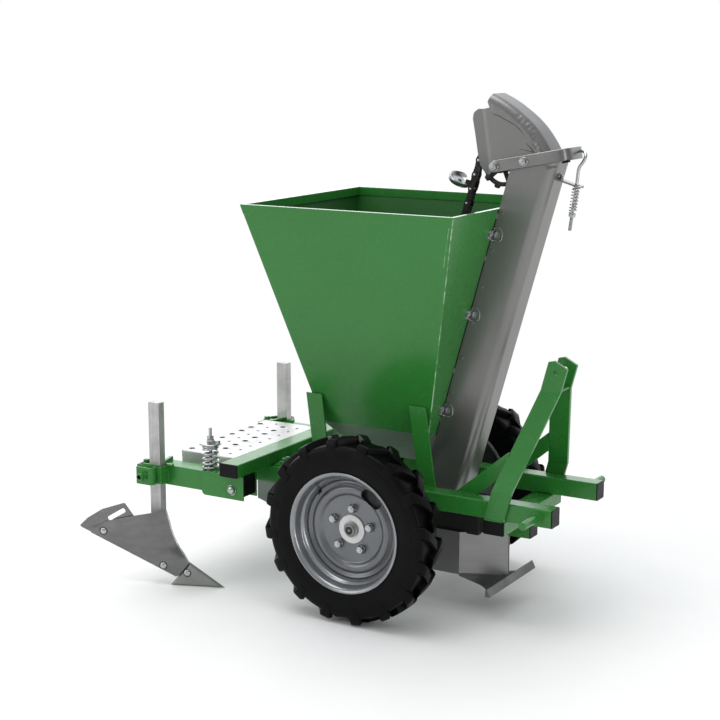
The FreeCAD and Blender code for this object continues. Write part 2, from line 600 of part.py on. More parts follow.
aw = d.arm_wall
arm_t = prism("arm_tube", "YZ_Plane", [
    rect(-d.arm_out, d.arm_low, -d.arm_in, d.arm_top),
    rect(-d.arm_out + aw, d.arm_low + aw, -d.arm_in - aw, d.arm_top - aw)], d.arm_rear, d.arm_front)
strap = [box("strap_face", -716, -628, -352, -347, 300, 350),
         box("strap_front", -633, -628, -352, -d.arm_out, 300, 350),
         box("strap_back", -716, -711, -352, -306, 300, 350),
         box("strap_foot", -716, -710, -317, -300, 300, 350)]
arm = cut("arm_r", fuse("arm_b", [arm_t] + strap), [
    box("arm_notch", -448, -360, -d.arm_out - 1, -d.arm_in + 1, 338, d.arm_top + 1),
    cyl("arm_bore", d.pivot_r + 0.4, 80, d.pivot_x, -328, d.pivot_z),
    box("arm_slot", -516, -488, -d.rod_y - 7, -d.rod_y + 7, d.arm_low - 1, d.arm_top + 1)])
node("ridger_arm_right", arm)
node("ridger_arm_left", mirror("ridger_arm_left", arm))
spr = cut("arm_spring_r", cyl("spring_o", d.spring_r, d.spring_top - d.arm_top - 0.3, d.rod_x, -d.rod_y, d.arm_top + 0.3, "Z"),
          [cyl("spring_i", d.spring_r - 8, 100, d.rod_x, -d.rod_y, d.arm_top - 5, "Z")])
node("arm_spring_right", spr)
node("arm_spring_left", mirror("arm_spring_left", spr))

# ---------------------------------------------------------------- ridgers
# Blade frame: origin at the point of the share, local X back along the blade,
# local Y outward through its working face.
BLADE = place(d.blade_x, -d.blade_y, 0, (0, 0, 1), 180 + d.blade_angle.v)
bt = d.blade_t
board = prism("board_plate", "XZ_Plane", [
    (173, 226), (195, 219), (271, 204), (350, 185), (401, 157), (400, 147), (145, 27), (107, 67), (140, 142)],
    -bt, 0, at=BLADE)
ext = prism("wing_plate", "XZ_Plane", [
    (271, 204), (297, 241), (366, 218), (410, 190), (437, 164), (330, 114), (250, 150)],
    -bt - 4, -bt, at=BLADE)
mould = fuse("mouldboard_right", [board, ext])
node("mouldboard_right", mould)
node("mouldboard_left", mirror("mouldboard_left", mould))
share = prism("share_right", "XZ_Plane", [(0, 0), (163, 0), (145, 27), (107, 67)], -8, 0, at=BLADE)
node("ridger_share_right", share)
node("ridger_share_left", mirror("ridger_share_left", share))
ba = math.radians(d.blade_angle.v)
bx0, by0 = d.blade_x.v, -d.blade_y.v


def back_y(x, depth):
    """World Y of the plane that lies this deep behind the blade's face, at a given X."""
    px, py = bx0 - depth * math.sin(ba), by0 + depth * math.cos(ba)
    run = (px - x) / math.cos(ba)
    return py - run * math.sin(ba)


frog = prism("frog", "XY_Plane", [
    (d.shank_rear, -d.shank_out), (d.shank_rear, back_y(d.shank_rear.v, bt.v)),
    (d.shank_front, back_y(d.shank_front.v, bt.v)), (d.shank_front, -d.shank_out)], 80, 190)
tie = prism("frog_tie", "XZ_Plane", [
    (95, 18), (135, 18), (150, 38), (212, 68), (212, 95), (125, 95), (104, 60)], -18, -8, at=BLADE)
shank = fuse("shank_b", [
    box("shank_bar", d.shank_rear, d.shank_front, -d.shank_out, -d.shank_in, d.shank_low, d.shank_top),
    frog, tie])
node("shank_right", shank)
node("shank_left", mirror("shank_left", shank))

# ---------------------------------------------------------------- wheels
WHEEL = place(0, -d.wheel_y, d.axle_z)
wr, rr = d.wheel_r, d.rim_r
tyre = revolve("tyre_right", [[
    (157, -45), (170, -45), (205, -49), (238, -47), (252, -43), (wr, -36), (wr, 36), (252, 43),
    (238, 47), (205, 49), (170, 45), (157, 45), (157, 38), (172, 38), (205, 42), (236, 40),
    (244, 30), (244, -30), (236, -40), (205, -42), (172, -38), (157, -38)]], WHEEL)
node("tyre_right", tyre)
node("tyre_left", mirror("tyre_left", tyre))
barrel = revolve("rim_barrel", [[
    (rr, -49), (rr, -46), (156, -46), (152, -40), (150, -18), (138, -10), (138, 10), (150, 18),
    (152, 40), (156, 46), (rr, 46), (rr, 49), (153, 49), (148, 41), (146, 20), (134, 12),
    (134, -12), (146, -20), (148, -41), (153, -49)]], WHEEL)
disc = cyl("rim_disc", 136, 5, 0, -d.disc_y, d.axle_z)
hub = [cyl("hub_tube", 30, 105, 0, -320, d.axle_z), cyl("hub_flange", 70, 8, 0, -320, d.axle_z)]
hub_bore = cyl("hub_bore", d.axle_r + 0.5, 100, 0, -311, d.axle_z)
rim = cut("wheel_b", fuse("wheel_f", [barrel, disc] + hub), [hub_bore])
node("wheel_right", rim)
node("wheel_left", mirror("wheel_left", rim))

# ---------------------------------------------------------------- check and export
doc.recompute()
bad = [o.Name for o in doc.Objects if "Invalid" in o.State or "Error" in o.State]
if bad:
    raise SystemExit("failed objects: %s" % ", ".join(bad))
os.makedirs("parts", exist_ok=True)
total = None
for name in sorted(nodes):
    obj = nodes[name]
    shp = obj.Shape
    if shp.isNull() or not shp.isValid() or shp.Volume <= 0 or not shp.Solids:
        raise SystemExit("bad shape: %s" % name)
    bb = shp.BoundBox
    total = bb if total is None else total.united(bb)
    print("%-20s solids %2d volume %10.0f  x %7.1f %7.1f  y %7.1f %7.1f  z %7.1f %7.1f" % (
        name, len(shp.Solids), shp.Volume, bb.XMin - SHIFT, bb.XMax - SHIFT, bb.YMin, bb.YMax, bb.ZMin, bb.ZMax))
    shp.exportStep(os.path.join("parts", name + ".step"))
print("nodes", len(nodes), "box", total, "centre x", (total.XMin + total.XMax) / 2)
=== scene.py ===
"""The looks of the potato planter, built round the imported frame."""
import bpy, bmesh, math, random
from mathutils import Vector, Matrix, noise


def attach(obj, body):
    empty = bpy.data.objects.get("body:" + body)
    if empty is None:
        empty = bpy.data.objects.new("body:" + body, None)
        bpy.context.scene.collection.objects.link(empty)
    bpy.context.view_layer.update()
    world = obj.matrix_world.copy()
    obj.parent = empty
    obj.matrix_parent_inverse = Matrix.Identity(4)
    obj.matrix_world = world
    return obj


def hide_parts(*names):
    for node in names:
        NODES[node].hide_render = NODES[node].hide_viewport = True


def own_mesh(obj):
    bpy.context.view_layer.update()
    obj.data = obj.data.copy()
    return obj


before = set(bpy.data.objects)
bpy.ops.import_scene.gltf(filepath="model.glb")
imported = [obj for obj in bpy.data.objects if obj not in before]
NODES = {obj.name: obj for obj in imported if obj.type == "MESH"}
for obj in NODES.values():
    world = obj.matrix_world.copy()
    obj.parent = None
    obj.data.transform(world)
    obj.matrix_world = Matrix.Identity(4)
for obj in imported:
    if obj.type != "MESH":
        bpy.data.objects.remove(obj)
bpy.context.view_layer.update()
scene = bpy.context.scene
SX = 170.9                                   # row X of the wheel axle, mm
TO_ROW = Matrix.Translation((SX / 1000, 0, 0)) @ Matrix.Scale(0.001, 4)
TAU = 2 * math.pi
rad = math.radians


def V(*a):
    return Vector(a)


def frame_at(x, y, z, axis="Y", deg=0.0):
    return Matrix.Translation((x, y, z)) @ Matrix.Rotation(rad(deg), 4, axis)


LEAN = 15.9
ELEV = frame_at(0, 0, 260, "Y", LEAN)
TOPX, TOPZ = 1010.7 * math.sin(rad(LEAN)), 260 + 1010.7 * math.cos(rad(LEAN))
HEAD = frame_at(TOPX, 0, TOPZ, "Y", LEAN)
YOKE = frame_at(TOPX, 0, TOPZ, "Y", -10.8)
BLADE = frame_at(-452.1, -295.4, 0, "Z", 200.8)
WHEEL = frame_at(0, -328, 260)
AX_X = Matrix.Rotation(rad(90), 4, "Y")      # local Z runs along +X
AX_Y = Matrix.Rotation(rad(-90), 4, "X")     # local Z runs along +Y
AX_NY = Matrix.Rotation(rad(90), 4, "X")     # local Z runs along -Y


def along(p, q):
    """A frame at p whose local Z runs to q."""
    p, q = Vector(p), Vector(q)
    return Matrix.Translation(p) @ (q - p).to_track_quat("Z", "Y").to_matrix().to_4x4()


# ------------------------------------------------------------------ materials
def new_mat(name):
    m = bpy.data.materials.new(name)
    m.use_nodes = True
    nt = m.node_tree
    nt.nodes.clear()
    out = nt.nodes.new("ShaderNodeOutputMaterial")
    b = nt.nodes.new("ShaderNodeBsdfPrincipled")
    nt.links.new(b.outputs[0], out.inputs[0])
    tc = nt.nodes.new("ShaderNodeTexCoord")
    return m, nt, b, tc


def mapping(nt, tc, scale=(1, 1, 1), rot=(0, 0, 0)):
    mp = nt.nodes.new("ShaderNodeMapping")
    mp.inputs["Scale"].default_value = scale
    mp.inputs["Rotation"].default_value = rot
    nt.links.new(tc.outputs["Object"], mp.inputs[0])
    return mp.outputs[0]


def noise_tex(nt, vec, scale, detail=3, rough=0.55, dist=0.0):
    n = nt.nodes.new("ShaderNodeTexNoise")
    n.inputs["Scale"].default_value = scale
    n.inputs["Detail"].default_value = detail
    n.inputs["Roughness"].default_value = rough
    n.inputs["Distortion"].default_value = dist
    nt.links.new(vec, n.inputs["Vector"])
    return n.outputs["Fac"]


def remap(nt, val, a, b, c, d):
    r = nt.nodes.new("ShaderNodeMapRange")
    r.inputs[1].default_value, r.inputs[2].default_value = a, b
    r.inputs[3].default_value, r.inputs[4].default_value = c, d
    nt.links.new(val, r.inputs[0])
    return r.outputs[0]


def mix_col(nt, fac, a, b):
    r = nt.nodes.new("ShaderNodeMix")
    r.data_type = "RGBA"
    for sock, val in ((r.inputs[0], fac), (r.inputs[6], a), (r.inputs[7], b)):
        if isinstance(val, (tuple, list)):
            sock.default_value = tuple(val) + ((1,) if len(val) == 3 else ())
        elif isinstance(val, (int, float)):
            sock.default_value = val
        else:
            nt.links.new(val, sock)
    return r.outputs[2]


def math_node(nt, op, a, b=None, clamp=False):
    r = nt.nodes.new("ShaderNodeMath")
    r.operation = op
    r.use_clamp = clamp
    for i, v in enumerate((a, b)):
        if v is None:
            continue
        if isinstance(v, (int, float)):
            r.inputs[i].default_value = v
        else:
            nt.links.new(v, r.inputs[i])
    return r.outputs[0]


def bump(nt, height, strength, dist, normal=None):
    b = nt.nodes.new("ShaderNodeBump")
    b.inputs["Strength"].default_value = strength
    b.inputs["Distance"].default_value = dist
    nt.links.new(height, b.inputs["Height"])
    if normal is not None:
        nt.links.new(normal, b.inputs["Normal"])
    return b.outputs[0]


def paint(name, dark, light, rough=(0.20, 0.30), coat=0.06, spec=0.40):
    """Sprayed enamel: fine orange peel, slow changes of tone, thin spots and an uneven gloss."""
    m, nt, b, tc = new_mat(name)
    o = mapping(nt, tc)
    slow = noise_tex(nt, o, 2.1, 3, 0.5)
    fine = noise_tex(nt, o, 38, 4, 0.6)
    peel = noise_tex(nt, o, 700, 2, 0.5)
    wave = noise_tex(nt, o, 6.5, 2, 0.4)
    col = mix_col(nt, remap(nt, slow, 0.35, 0.65, 0, 1), dark, light)
    speck = remap(nt, noise_tex(nt, o, 210, 3, 0.7), 0.70, 0.80, 0, 0.22)
    col = mix_col(nt, speck, col, tuple(c * 0.55 for c in dark))
    nt.links.new(col, b.inputs["Base Color"])
    nt.links.new(remap(nt, fine, 0.3, 0.7, rough[0], rough[1]), b.inputs["Roughness"])
    b.inputs["Specular IOR Level"].default_value = spec
    b.inputs["Coat Weight"].default_value = coat
    b.inputs["Coat Roughness"].default_value = 0.12
    n1 = bump(nt, wave, 0.05, 0.004)
    n2 = bump(nt, peel, 0.035, 0.0003, n1)
    nt.links.new(n2, b.inputs["Normal"])
    return m


def metal(name, dark, light, rough=(0.3, 0.45), grain=(6, 6, 220), grain_rot=(0, 0, 0), metallic=0.95,
          blotch=5.0, bumpy=0.05, spangle=0.0, stain=0.0, ior=1.5):
    """Sheet or bar steel: rolled grain, slow blotches, optional zinc spangle and stains."""
    m, nt, b, tc = new_mat(name)
    o = mapping(nt, tc)
    g = noise_tex(nt, mapping(nt, tc, grain, grain_rot), 1.0, 4, 0.6)
    slow = noise_tex(nt, o, blotch, 4, 0.6, 0.3)
    fine = noise_tex(nt, o, 90, 3, 0.6)
    f = math_node(nt, "ADD", math_node(nt, "MULTIPLY", slow, 0.65), math_node(nt, "MULTIPLY", g, 0.35))
    col = mix_col(nt, remap(nt, f, 0.36, 0.64, 0, 1), dark, light)
    r = remap(nt, f, 0.3, 0.7, rough[1], rough[0])
    if spangle > 0:
        v = nt.nodes.new("ShaderNodeTexVoronoi")
        v.inputs["Scale"].default_value = 130
        nt.links.new(o, v.inputs["Vector"])
        sep = nt.nodes.new("ShaderNodeSeparateColor")
        nt.links.new(v.outputs["Color"], sep.inputs[0])
        col = mix_col(nt, remap(nt, sep.outputs[0], 0, 1, 0, spangle), col, tuple(c * 0.6 for c in dark))
        r = math_node(nt, "ADD", r, remap(nt, sep.outputs[1], 0, 1, -0.06, 0.10))
    if stain > 0:
        s = noise_tex(nt, o, 14, 5, 0.65, 0.8)
        col = mix_col(nt, remap(nt, s, 0.58, 0.76, 0, stain), col, (0.10, 0.085, 0.07))
    nt.links.new(col, b.inputs["Base Color"])
    nt.links.new(r, b.inputs["Roughness"])
    b.inputs["Metallic"].default_value = metallic
    b.inputs["IOR"].default_value = ior
    n1 = bump(nt, g, bumpy, 0.0006)
    n2 = bump(nt, fine, bumpy, 0.0006, n1)
    nt.links.new(n2, b.inputs["Normal"])
    return m


def rubber(name):
    m, nt, b, tc = new_mat(name)
    o = mapping(nt, tc)
    slow = noise_tex(nt, o, 16, 4, 0.6)
    fine = noise_tex(nt, o, 420, 3, 0.6)
    col = mix_col(nt, remap(nt, slow, 0.4, 0.7, 0, 1), (0.0014, 0.0014, 0.0015), (0.0034, 0.0034, 0.0036))
    nt.links.new(col, b.inputs["Base Color"])
    nt.links.new(remap(nt, slow, 0.3, 0.7, 0.30, 0.42), b.inputs["Roughness"])
    b.inputs["Specular IOR Level"].default_value = 0.10
    n1 = bump(nt, fine, 0.20, 0.0005)
    nt.links.new(n1, b.inputs["Normal"])
    return m


def plastic(name, c=(0.0028, 0.0028, 0.0032), rough=0.36):
    m, nt, b, tc = new_mat(name)
    o = mapping(nt, tc)
    f = noise_tex(nt, o, 800, 2, 0.5)
    s = noise_tex(nt, o, 30, 3, 0.6)
    col = mix_col(nt, s, c, tuple(x * 1.9 for x in c))
    nt.links.new(col, b.inputs["Base Color"])
    nt.links.new(remap(nt, s, 0.3, 0.7, rough - 0.06, rough + 0.08), b.inputs["Roughness"])
    b.inputs["Specular IOR Level"].default_value = 0.14
    nt.links.new(bump(nt, f, 0.15, 0.0003), b.inputs["Normal"])
    return m


def painted_edge_highlight(name):
    """A painted highlight: enamel coloured pale along a folded edge, in broken patches."""
    m, nt, b, tc = new_mat(name)
    o = mapping(nt, tc)
    f = noise_tex(nt, o, 34, 4, 0.65, 0.4)
    s = noise_tex(nt, o, 7, 2, 0.5)
    k = math_node(nt, "ADD", math_node(nt, "MULTIPLY", f, 0.6), math_node(nt, "MULTIPLY", s, 0.4))
    col = mix_col(nt, remap(nt, k, 0.43, 0.56, 0, 1), (0.045, 0.24, 0.05), (0.40, 0.62, 0.40))
    nt.links.new(col, b.inputs["Base Color"])
    nt.links.new(remap(nt, f, 0.3, 0.7, 0.12, 0.24), b.inputs["Roughness"])
    nt.links.new(bump(nt, f, 0.3, 0.0006), b.inputs["Normal"])
    return m


GREEN = paint("green_enamel", (0.023, 0.180, 0.026), (0.028, 0.200, 0.031))
# darker green for the hopper's inner faces: painted shade
INSIDE_SHADE = paint("green_inside_painted_shade", (0.014, 0.088, 0.016), (0.020, 0.112, 0.022), (0.42, 0.56), 0.0, 0.18)
# pale edge green: a painted highlight along the hopper's folded corners
EDGE_HIGHLIGHT = painted_edge_highlight("green_edge_painted_highlight")
# lighter, glossier green for the rim's upward faces: painted highlight with a real gloss coat
RIM_GLOSS_HIGHLIGHT = paint("green_rim_gloss_painted_highlight", (0.030, 0.190, 0.034), (0.036, 0.215, 0.040), (0.22, 0.30), 0.9, 0.9)
TUBE_LO, TUBE_HI = (0.165, 0.165, 0.160), (0.195, 0.195, 0.190)
TUBE = metal("casing_sheet", TUBE_LO, TUBE_HI, (0.27, 0.36), (30, 30, 1.2),
             metallic=0.60, blotch=2.2, bumpy=0.02, ior=2.1)
SHEET = metal("grey_sheet", (0.27, 0.27, 0.265), (0.32, 0.32, 0.315), (0.36, 0.46), (8, 8, 60),
              metallic=0.80, blotch=5, bumpy=0.03, stain=0.06)
BARE = metal("tool_steel", (0.135, 0.136, 0.132), (0.200, 0.202, 0.196), (0.22, 0.32), (4, 60, 60), metallic=0.80,
             blotch=2.5, bumpy=0.04, stain=0.02, ior=2.0)
# near-black sheet for the lower guard: painted shade
BOOT_SHADE = metal("boot_sheet_painted_shade", (0.018, 0.019, 0.018), (0.028, 0.029, 0.028), (0.40, 0.52), (60, 8, 8), metallic=0.5,
             blotch=8, bumpy=0.03)
# darker copies of the casing sheet for the hood's crown: painted shade
HOOD_SHADE_BANDS = [metal("hood_sheet_%d" % i, tuple(a + (0.110 - a) * i / 4 for a in TUBE_LO), tuple(a + (0.150 - a) * i / 4 for a in TUBE_HI),
               (0.28 + 0.02 * i, 0.37 + 0.02 * i), (30, 30, 1.2), metallic=0.60, blotch=2.2, bumpy=0.02,
               ior=2.1 - 0.1 * i) for i in range(5)]
SOLE = metal("sole_steel", (0.100, 0.100, 0.100), (0.170, 0.170, 0.167), (0.34, 0.46), (5, 50, 50), metallic=0.6,
             blotch=9, bumpy=0.05, stain=0.15)
# light steel for the mouldboard's leading edge: real wear and a painted highlight
EDGE = metal("ground_edge_and_painted_highlight", (0.42, 0.42, 0.42), (0.60, 0.60, 0.60), (0.22, 0.34), (60, 60, 6), metallic=0.8,
             blotch=9, bumpy=0.03)
SHARE = metal("share_steel", (0.22, 0.225, 0.213), (0.30, 0.305, 0.292), (0.26, 0.36), (4, 60, 60), metallic=0.75,
              blotch=5, bumpy=0.05, stain=0.04, ior=2.0)
# grey sheet tinted green: a painted reflection of the green paint round it
CHUTE_GREEN_REFLECTION = metal("chute_sheet_painted_reflection", (0.150, 0.215, 0.160), (0.190, 0.26, 0.200), (0.36, 0.46), (8, 8, 60), metallic=0.55,
              blotch=4, bumpy=0.03, stain=0.03)
GUARD = metal("guard_sheet", (0.145, 0.18, 0.15), (0.18, 0.215, 0.185), (0.36, 0.46), (8, 8, 60), metallic=0.7,
              blotch=6, bumpy=0.03, stain=0.06)
ZINC = metal("zinc_plate", (0.40, 0.41, 0.42), (0.50, 0.51, 0.52), (0.22, 0.32), (60, 60, 60), metallic=0.95,
             blotch=26, bumpy=0.015)
GALV = metal("galvanised", (0.56, 0.56, 0.555), (0.70, 0.70, 0.695), (0.36, 0.46), (30, 30, 30), metallic=0.70,
             blotch=14, bumpy=0.03, spangle=0.10)
SHANKM = metal("galvanised_bar", (0.40, 0.40, 0.395), (0.58, 0.58, 0.575), (0.36, 0.50), (160, 160, 7), metallic=0.80,
               blotch=10, bumpy=0.05, spangle=0.12)
LEVER = metal("lever_steel", (0.20, 0.20, 0.195), (0.27, 0.27, 0.265), (0.26, 0.36), (3, 90, 90), metallic=0.9,
              blotch=12, bumpy=0.02)
RIM = metal("rim_silver", (0.140, 0.146, 0.153), (0.170, 0.177, 0.185), (0.27, 0.35), (120, 120, 120),
            metallic=0.72, blotch=7, bumpy=0.012, ior=1.8)
# lit and shaded copies of the rim silver: the barrel lighter, the disc darker, as painted light and shade
RIM_BARREL_LIT = metal("rim_barrel_silver_painted_light", (0.245, 0.254, 0.266), (0.295, 0.305, 0.318), (0.21, 0.29), (120, 120, 120),
             metallic=0.75, blotch=7, bumpy=0.012, ior=1.8)
CHAIN = metal("chain_steel", (0.016, 0.014, 0.014), (0.05, 0.045, 0.045), (0.28, 0.5), (40, 40, 40), metallic=0.8,
              blotch=40, bumpy=0.05)
PIN = metal("pin_steel", (0.45, 0.44, 0.42), (0.62, 0.61, 0.59), (0.22, 0.4), (60, 60, 60), metallic=0.95,
            blotch=40, bumpy=0.03)
# near-black steel; most uses are painted shade in holes, gaps and recesses
DARK_AND_PAINTED_SHADE = metal("dark_steel_and_painted_shade", (0.02, 0.02, 0.02), (0.045, 0.045, 0.045), (0.4, 0.6), (60, 60, 60), metallic=0.5,
             blotch=30, bumpy=0.05)
RUBBER = rubber("tyre_rubber")
PLASTIC = plastic("black_plastic")
SEAL = plastic("black_seal", (0.003, 0.003, 0.003), 0.7)


# ------------------------------------------------------------------ shapes
def rounded(pts, radii, n=5):
    """A polygon with each corner rounded by its radius."""
    out = []
    k = len(pts)
    for i, p in enumerate(pts):
        r = radii[i] if isinstance(radii, (list, tuple)) else radii
        p = Vector(p)
        a, b = Vector(pts[i - 1]) - p, Vector(pts[(i + 1) % k]) - p
        if r <= 0:
            out.append(p)
            continue
        la, lb = a.length, b.length
        a, b = a.normalized(), b.normalized()
        half = a.angle(b) / 2
        if half > rad(89):
            out.append(p)
            continue
        t = min(r / math.tan(half), la * 0.49, lb * 0.49)
        rr = t * math.tan(half)
        c = p + (a + b).normalized() * (rr / math.sin(half))
        s, e = p + a * t - c, p + b * t - c
        ang = math.atan2(s.x * e.y - s.y * e.x, s.dot(e))
        a0 = math.atan2(s.y, s.x)
        for j in range(n + 1):
            w = a0 + ang * j / n
            out.append(c + Vector((math.cos(w), math.sin(w))) * rr)
    return out


def rrect(x0, y0, x1, y1, r, n=4):
    return rounded([(x0, y0), (x1, y0), (x1, y1), (x0, y1)], r, n)


def circle2(r, n=32, cx=0.0, cy=0.0, ry=None):
    ry = r if ry is None else ry
    return [Vector((cx + r * math.cos(TAU * i / n), cy + ry * math.sin(TAU * i / n))) for i in range(n)]


class Part:
    """Geometry in axle-frame millimetres, finished as one object in the row frame."""

    def __init__(self, name, mat):
        self.name, self.mats, self.mi = name, [mat], 0
        self.bm = bmesh.new()

    def use(self, mat):
        if mat not in self.mats:
            self.mats.append(mat)
        self.mi = self.mats.index(mat)
        return self

    def take(self, bm, M=None):
        if M is not None:
            bm.transform(M)
            if M.determinant() < 0:
                bmesh.ops.reverse_faces(bm, faces=bm.faces)
        for f in bm.faces:
            f.material_index = self.mi
        me = bpy.data.meshes.new("tmp")
        bm.to_mesh(me)
        bm.free()
        self.bm.from_mesh(me)
        bpy.data.meshes.remove(me)
        return self

    def mesh(self, verts, faces, M=None, bev=0.0, segs=2, ang=30):
        bm = bmesh.new()
        vs = [bm.verts.new(v) for v in verts]
        for f in faces:
            try:
                bm.faces.new([vs[i] for i in f])
            except ValueError:
                pass
        bmesh.ops.recalc_face_normals(bm, faces=bm.faces)
        if bev > 0:
            do_bevel(bm, bev, segs, ang)
        return self.take(bm, M)

    def box(self, x0, x1, y0, y1, z0, z1, bev=1.0, M=None, segs=2):
        v = [(x, y, z) for x in (x0, x1) for y in (y0, y1) for z in (z0, z1)]
        f = [(0, 1, 3, 2), (4, 6, 7, 5), (0, 4, 5, 1), (2, 3, 7, 6), (0, 2, 6, 4), (1, 5, 7, 3)]
        return self.mesh(v, f, M, bev, segs)

    def slab(self, poly, lo, hi, M=None, bev=0.6, holes=(), segs=2):
        """A polygon in local X, Y pushed from lo to hi along local Z, with holes."""
        poly = [Vector((p[0], p[1])) for p in poly]
        area = sum(poly[i - 1].x * poly[i].y - poly[i].x * poly[i - 1].y for i in range(len(poly)))
        if area < 0:
            poly.reverse()
        bm = bmesh.new()
        if not holes:
            bot = [bm.verts.new((p.x, p.y, lo)) for p in poly]
            top = [bm.verts.new((p.x, p.y, hi)) for p in poly]
            bm.faces.new(list(reversed(bot)))
            bm.faces.new(top)
            n = len(poly)
            for i in range(n):
                j = (i + 1) % n
                bm.faces.new((bot[i], bot[j], top[j], top[i]))
        else:
            loops = [poly] + [[Vector((p[0], p[1])) for p in h] for h in holes]
            edges, rings = [], []
            for lp in loops:
                vs = [bm.verts.new((p.x, p.y, lo)) for p in lp]
                rings.append(vs)
                for i in range(len(vs)):
                    edges.append(bm.edges.new((vs[i], vs[(i + 1) % len(vs)])))
            bmesh.ops.triangle_fill(bm, use_beauty=True, use_dissolve=False, edges=edges)
            low_faces = list(bm.faces)
            ext = bmesh.ops.extrude_face_region(bm, geom=low_faces, use_keep_orig=True)
            up = [g for g in ext["geom"] if isinstance(g, bmesh.types.BMVert)]
            for v in up:
                v.co.z = hi
            bmesh.ops.recalc_face_normals(bm, faces=bm.faces)
        if bev > 0:
            do_bevel(bm, bev, segs, 40)
        return self.take(bm, M)

    def ring_loft(self, rings, close=True, caps=True, M=None, closed_path=False, bev=0.0):
        """Skins a list of rings, each a list of points."""
        bm = bmesh.new()
        R = [[bm.verts.new(p) for p in ring] for ring in rings]
        n = len(R[0])
        m = len(R)
        for i in range(m if closed_path else m - 1):
            a, b = R[i], R[(i + 1) % m]
            for j in range(n if close else n - 1):
                k = (j + 1) % n
                try:
                    bm.faces.new((a[j], a[k], b[k], b[j]))
                except ValueError:
                    pass
        if caps and close and not closed_path:
            bm.faces.new(list(reversed(R[0])))
            bm.faces.new(R[-1])
        bmesh.ops.recalc_face_normals(bm, faces=bm.faces)
        if bev > 0:
            do_bevel(bm, bev, 2, 40)
        return self.take(bm, M)

    def lathe(self, prof, n=48, M=None, closed=False, a0=0.0, a1=360.0):
        """A profile of (radius, height) turned about local Z."""
        bm = bmesh.new()
        full = abs(a1 - a0) > 359.9
        cols = []
        steps = n if full else n + 1
        for i in range(steps):
            a = rad(a0 + (a1 - a0) * i / n)
            cols.append([None if r < 1e-6 else bm.verts.new((r * math.cos(a), r * math.sin(a), h))
                         for r, h in prof])
        axis = {j: bm.verts.new((0, 0, h)) for j, (r, h) in enumerate(prof) if r < 1e-6}
        k = len(prof)
        for i in range(n):
            A, B = cols[i], cols[(i + 1) % steps]
            for j in range(k if closed else k - 1):
                l = (j + 1) % k
                q = []
                for c, t in ((A, j), (B, j), (B, l), (A, l)):
                    v = c[t] if c[t] is not None else axis[t]
                    if v not in q:
                        q.append(v)
                if len(q) > 2:
                    try:
                        bm.faces.new(q)
                    except ValueError:
                        pass
        if not full and closed:
            bm.faces.new([v for v in reversed(cols[0])])
            bm.faces.new([v for v in cols[-1]])
        bmesh.ops.recalc_face_normals(bm, faces=bm.faces)
        return self.take(bm, M)

    def rod(self, p, q, r, bev=0.8, n=28, r2=None):
        L = (Vector(q) - Vector(p)).length
        r2 = r if r2 is None else r2
        b = min(bev, r * 0.5, L * 0.3)
        return self.lathe([(0, 0), (r - b, 0), (r - b * 0.3, b * 0.3), (r, b), (r2, L - b),
                           (r2 - b * 0.3, L - b * 0.3), (r2 - b, L), (0, L)], n, along(p, q))

    def tube(self, p, q, ro, ri, bev=0.8, n=32):
        L = (Vector(q) - Vector(p)).length
        b = min(bev, (ro - ri) * 0.4, L * 0.3)
        return self.lathe([(ri, b), (ri + b, 0), (ro - b, 0), (ro, b), (ro, L - b), (ro - b, L), (ri + b, L),
                           (ri, L - b)], n, along(p, q), closed=True)

    def sweep(self, path, r, n=12, closed=False, M=None, rfun=None, flat=1.0):
        """A round wire along a path of points."""
        P = [Vector(p) for p in path]
        m = len(P)
        T = []
        for i in range(m):
            a = P[i - 1] if (i or closed) else P[0]
            b = P[(i + 1) % m] if (i < m - 1 or closed) else P[-1]
            T.append((b - a).normalized())
        up = Vector((0, 0, 1)) if abs(T[0].z) < 0.9 else Vector((1, 0, 0))
        N = (up - T[0] * up.dot(T[0])).normalized()
        rings = []
        for i in range(m):
            if i:
                ax = T[i - 1].cross(T[i])
                if ax.length > 1e-9:
                    N = Matrix.Rotation(T[i - 1].angle(T[i]), 3, ax.normalized()) @ N
                N = (N - T[i] * N.dot(T[i])).normalized()
            B = T[i].cross(N)
            rr = r if rfun is None else r * rfun(i / max(1, m - 1))
            rings.append([P[i] + N * (rr * math.cos(TAU * j / n)) + B * (rr * flat * math.sin(TAU * j / n))
                          for j in range(n)])
        return self.ring_loft(rings, True, not closed, M, closed)

    def weld(self, p, q, r=2.2, seed=0, step=2.6, M=None):
        """A run of weld beads from p to q."""
        p, q = Vector(p), Vector(q)
        L = (q - p).length
        n = max(4, int(L / (step / 4)))
        rnd = random.Random(seed)
        ph = rnd.random() * 6
        side = Vector((rnd.random() - .5, rnd.random() - .5, rnd.random() - .5)) * 0.5
        path = [p.lerp(q, i / n) + side * noise.noise(Vector((i * 0.11, seed, 0))) for i in range(n + 1)]

        def rf(t):
            s = t * L
            end = min(1.0, s / 2.0 + 0.35, (L - s) / 2.0 + 0.35)
            return end * (0.86 + 0.14 * abs(math.sin(s / step * math.pi + ph)) +
                          0.12 * noise.noise(Vector((s * 0.15, seed * 3.1, 1))))
        return self.sweep(path, r, 8, False, M, rf)

    def hexa(self, M, af, h, bore=0.0, n=36, chamfer=True, flange=0.0):
        """A hexagon nut or head standing on the local XY plane."""
        ri = af / 2
        bot, top, cap, rb, rt = [], [], [], [], []
        for i in range(n):
            a = TAU * i / n
            k = (a + math.pi / 6) % (math.pi / 3) - math.pi / 6
            R = ri / math.cos(k)
            drop = (R - ri * 0.96) * math.tan(rad(30))
            bot.append(V(R * math.cos(a), R * math.sin(a), 0))
            top.append(V(R * math.cos(a), R * math.sin(a), h - drop))
            cap.append(V(ri * 0.95 * math.cos(a), ri * 0.95 * math.sin(a), h))
            rt.append(V(bore * math.cos(a), bore * math.sin(a), h))
            rb.append(V(bore * math.cos(a), bore * math.sin(a), 0))
        if bore > 0:
            return self.ring_loft([bot, top, cap, rt, rb], True, False, M, True)
        return self.ring_loft([bot, top, cap], True, True, M)

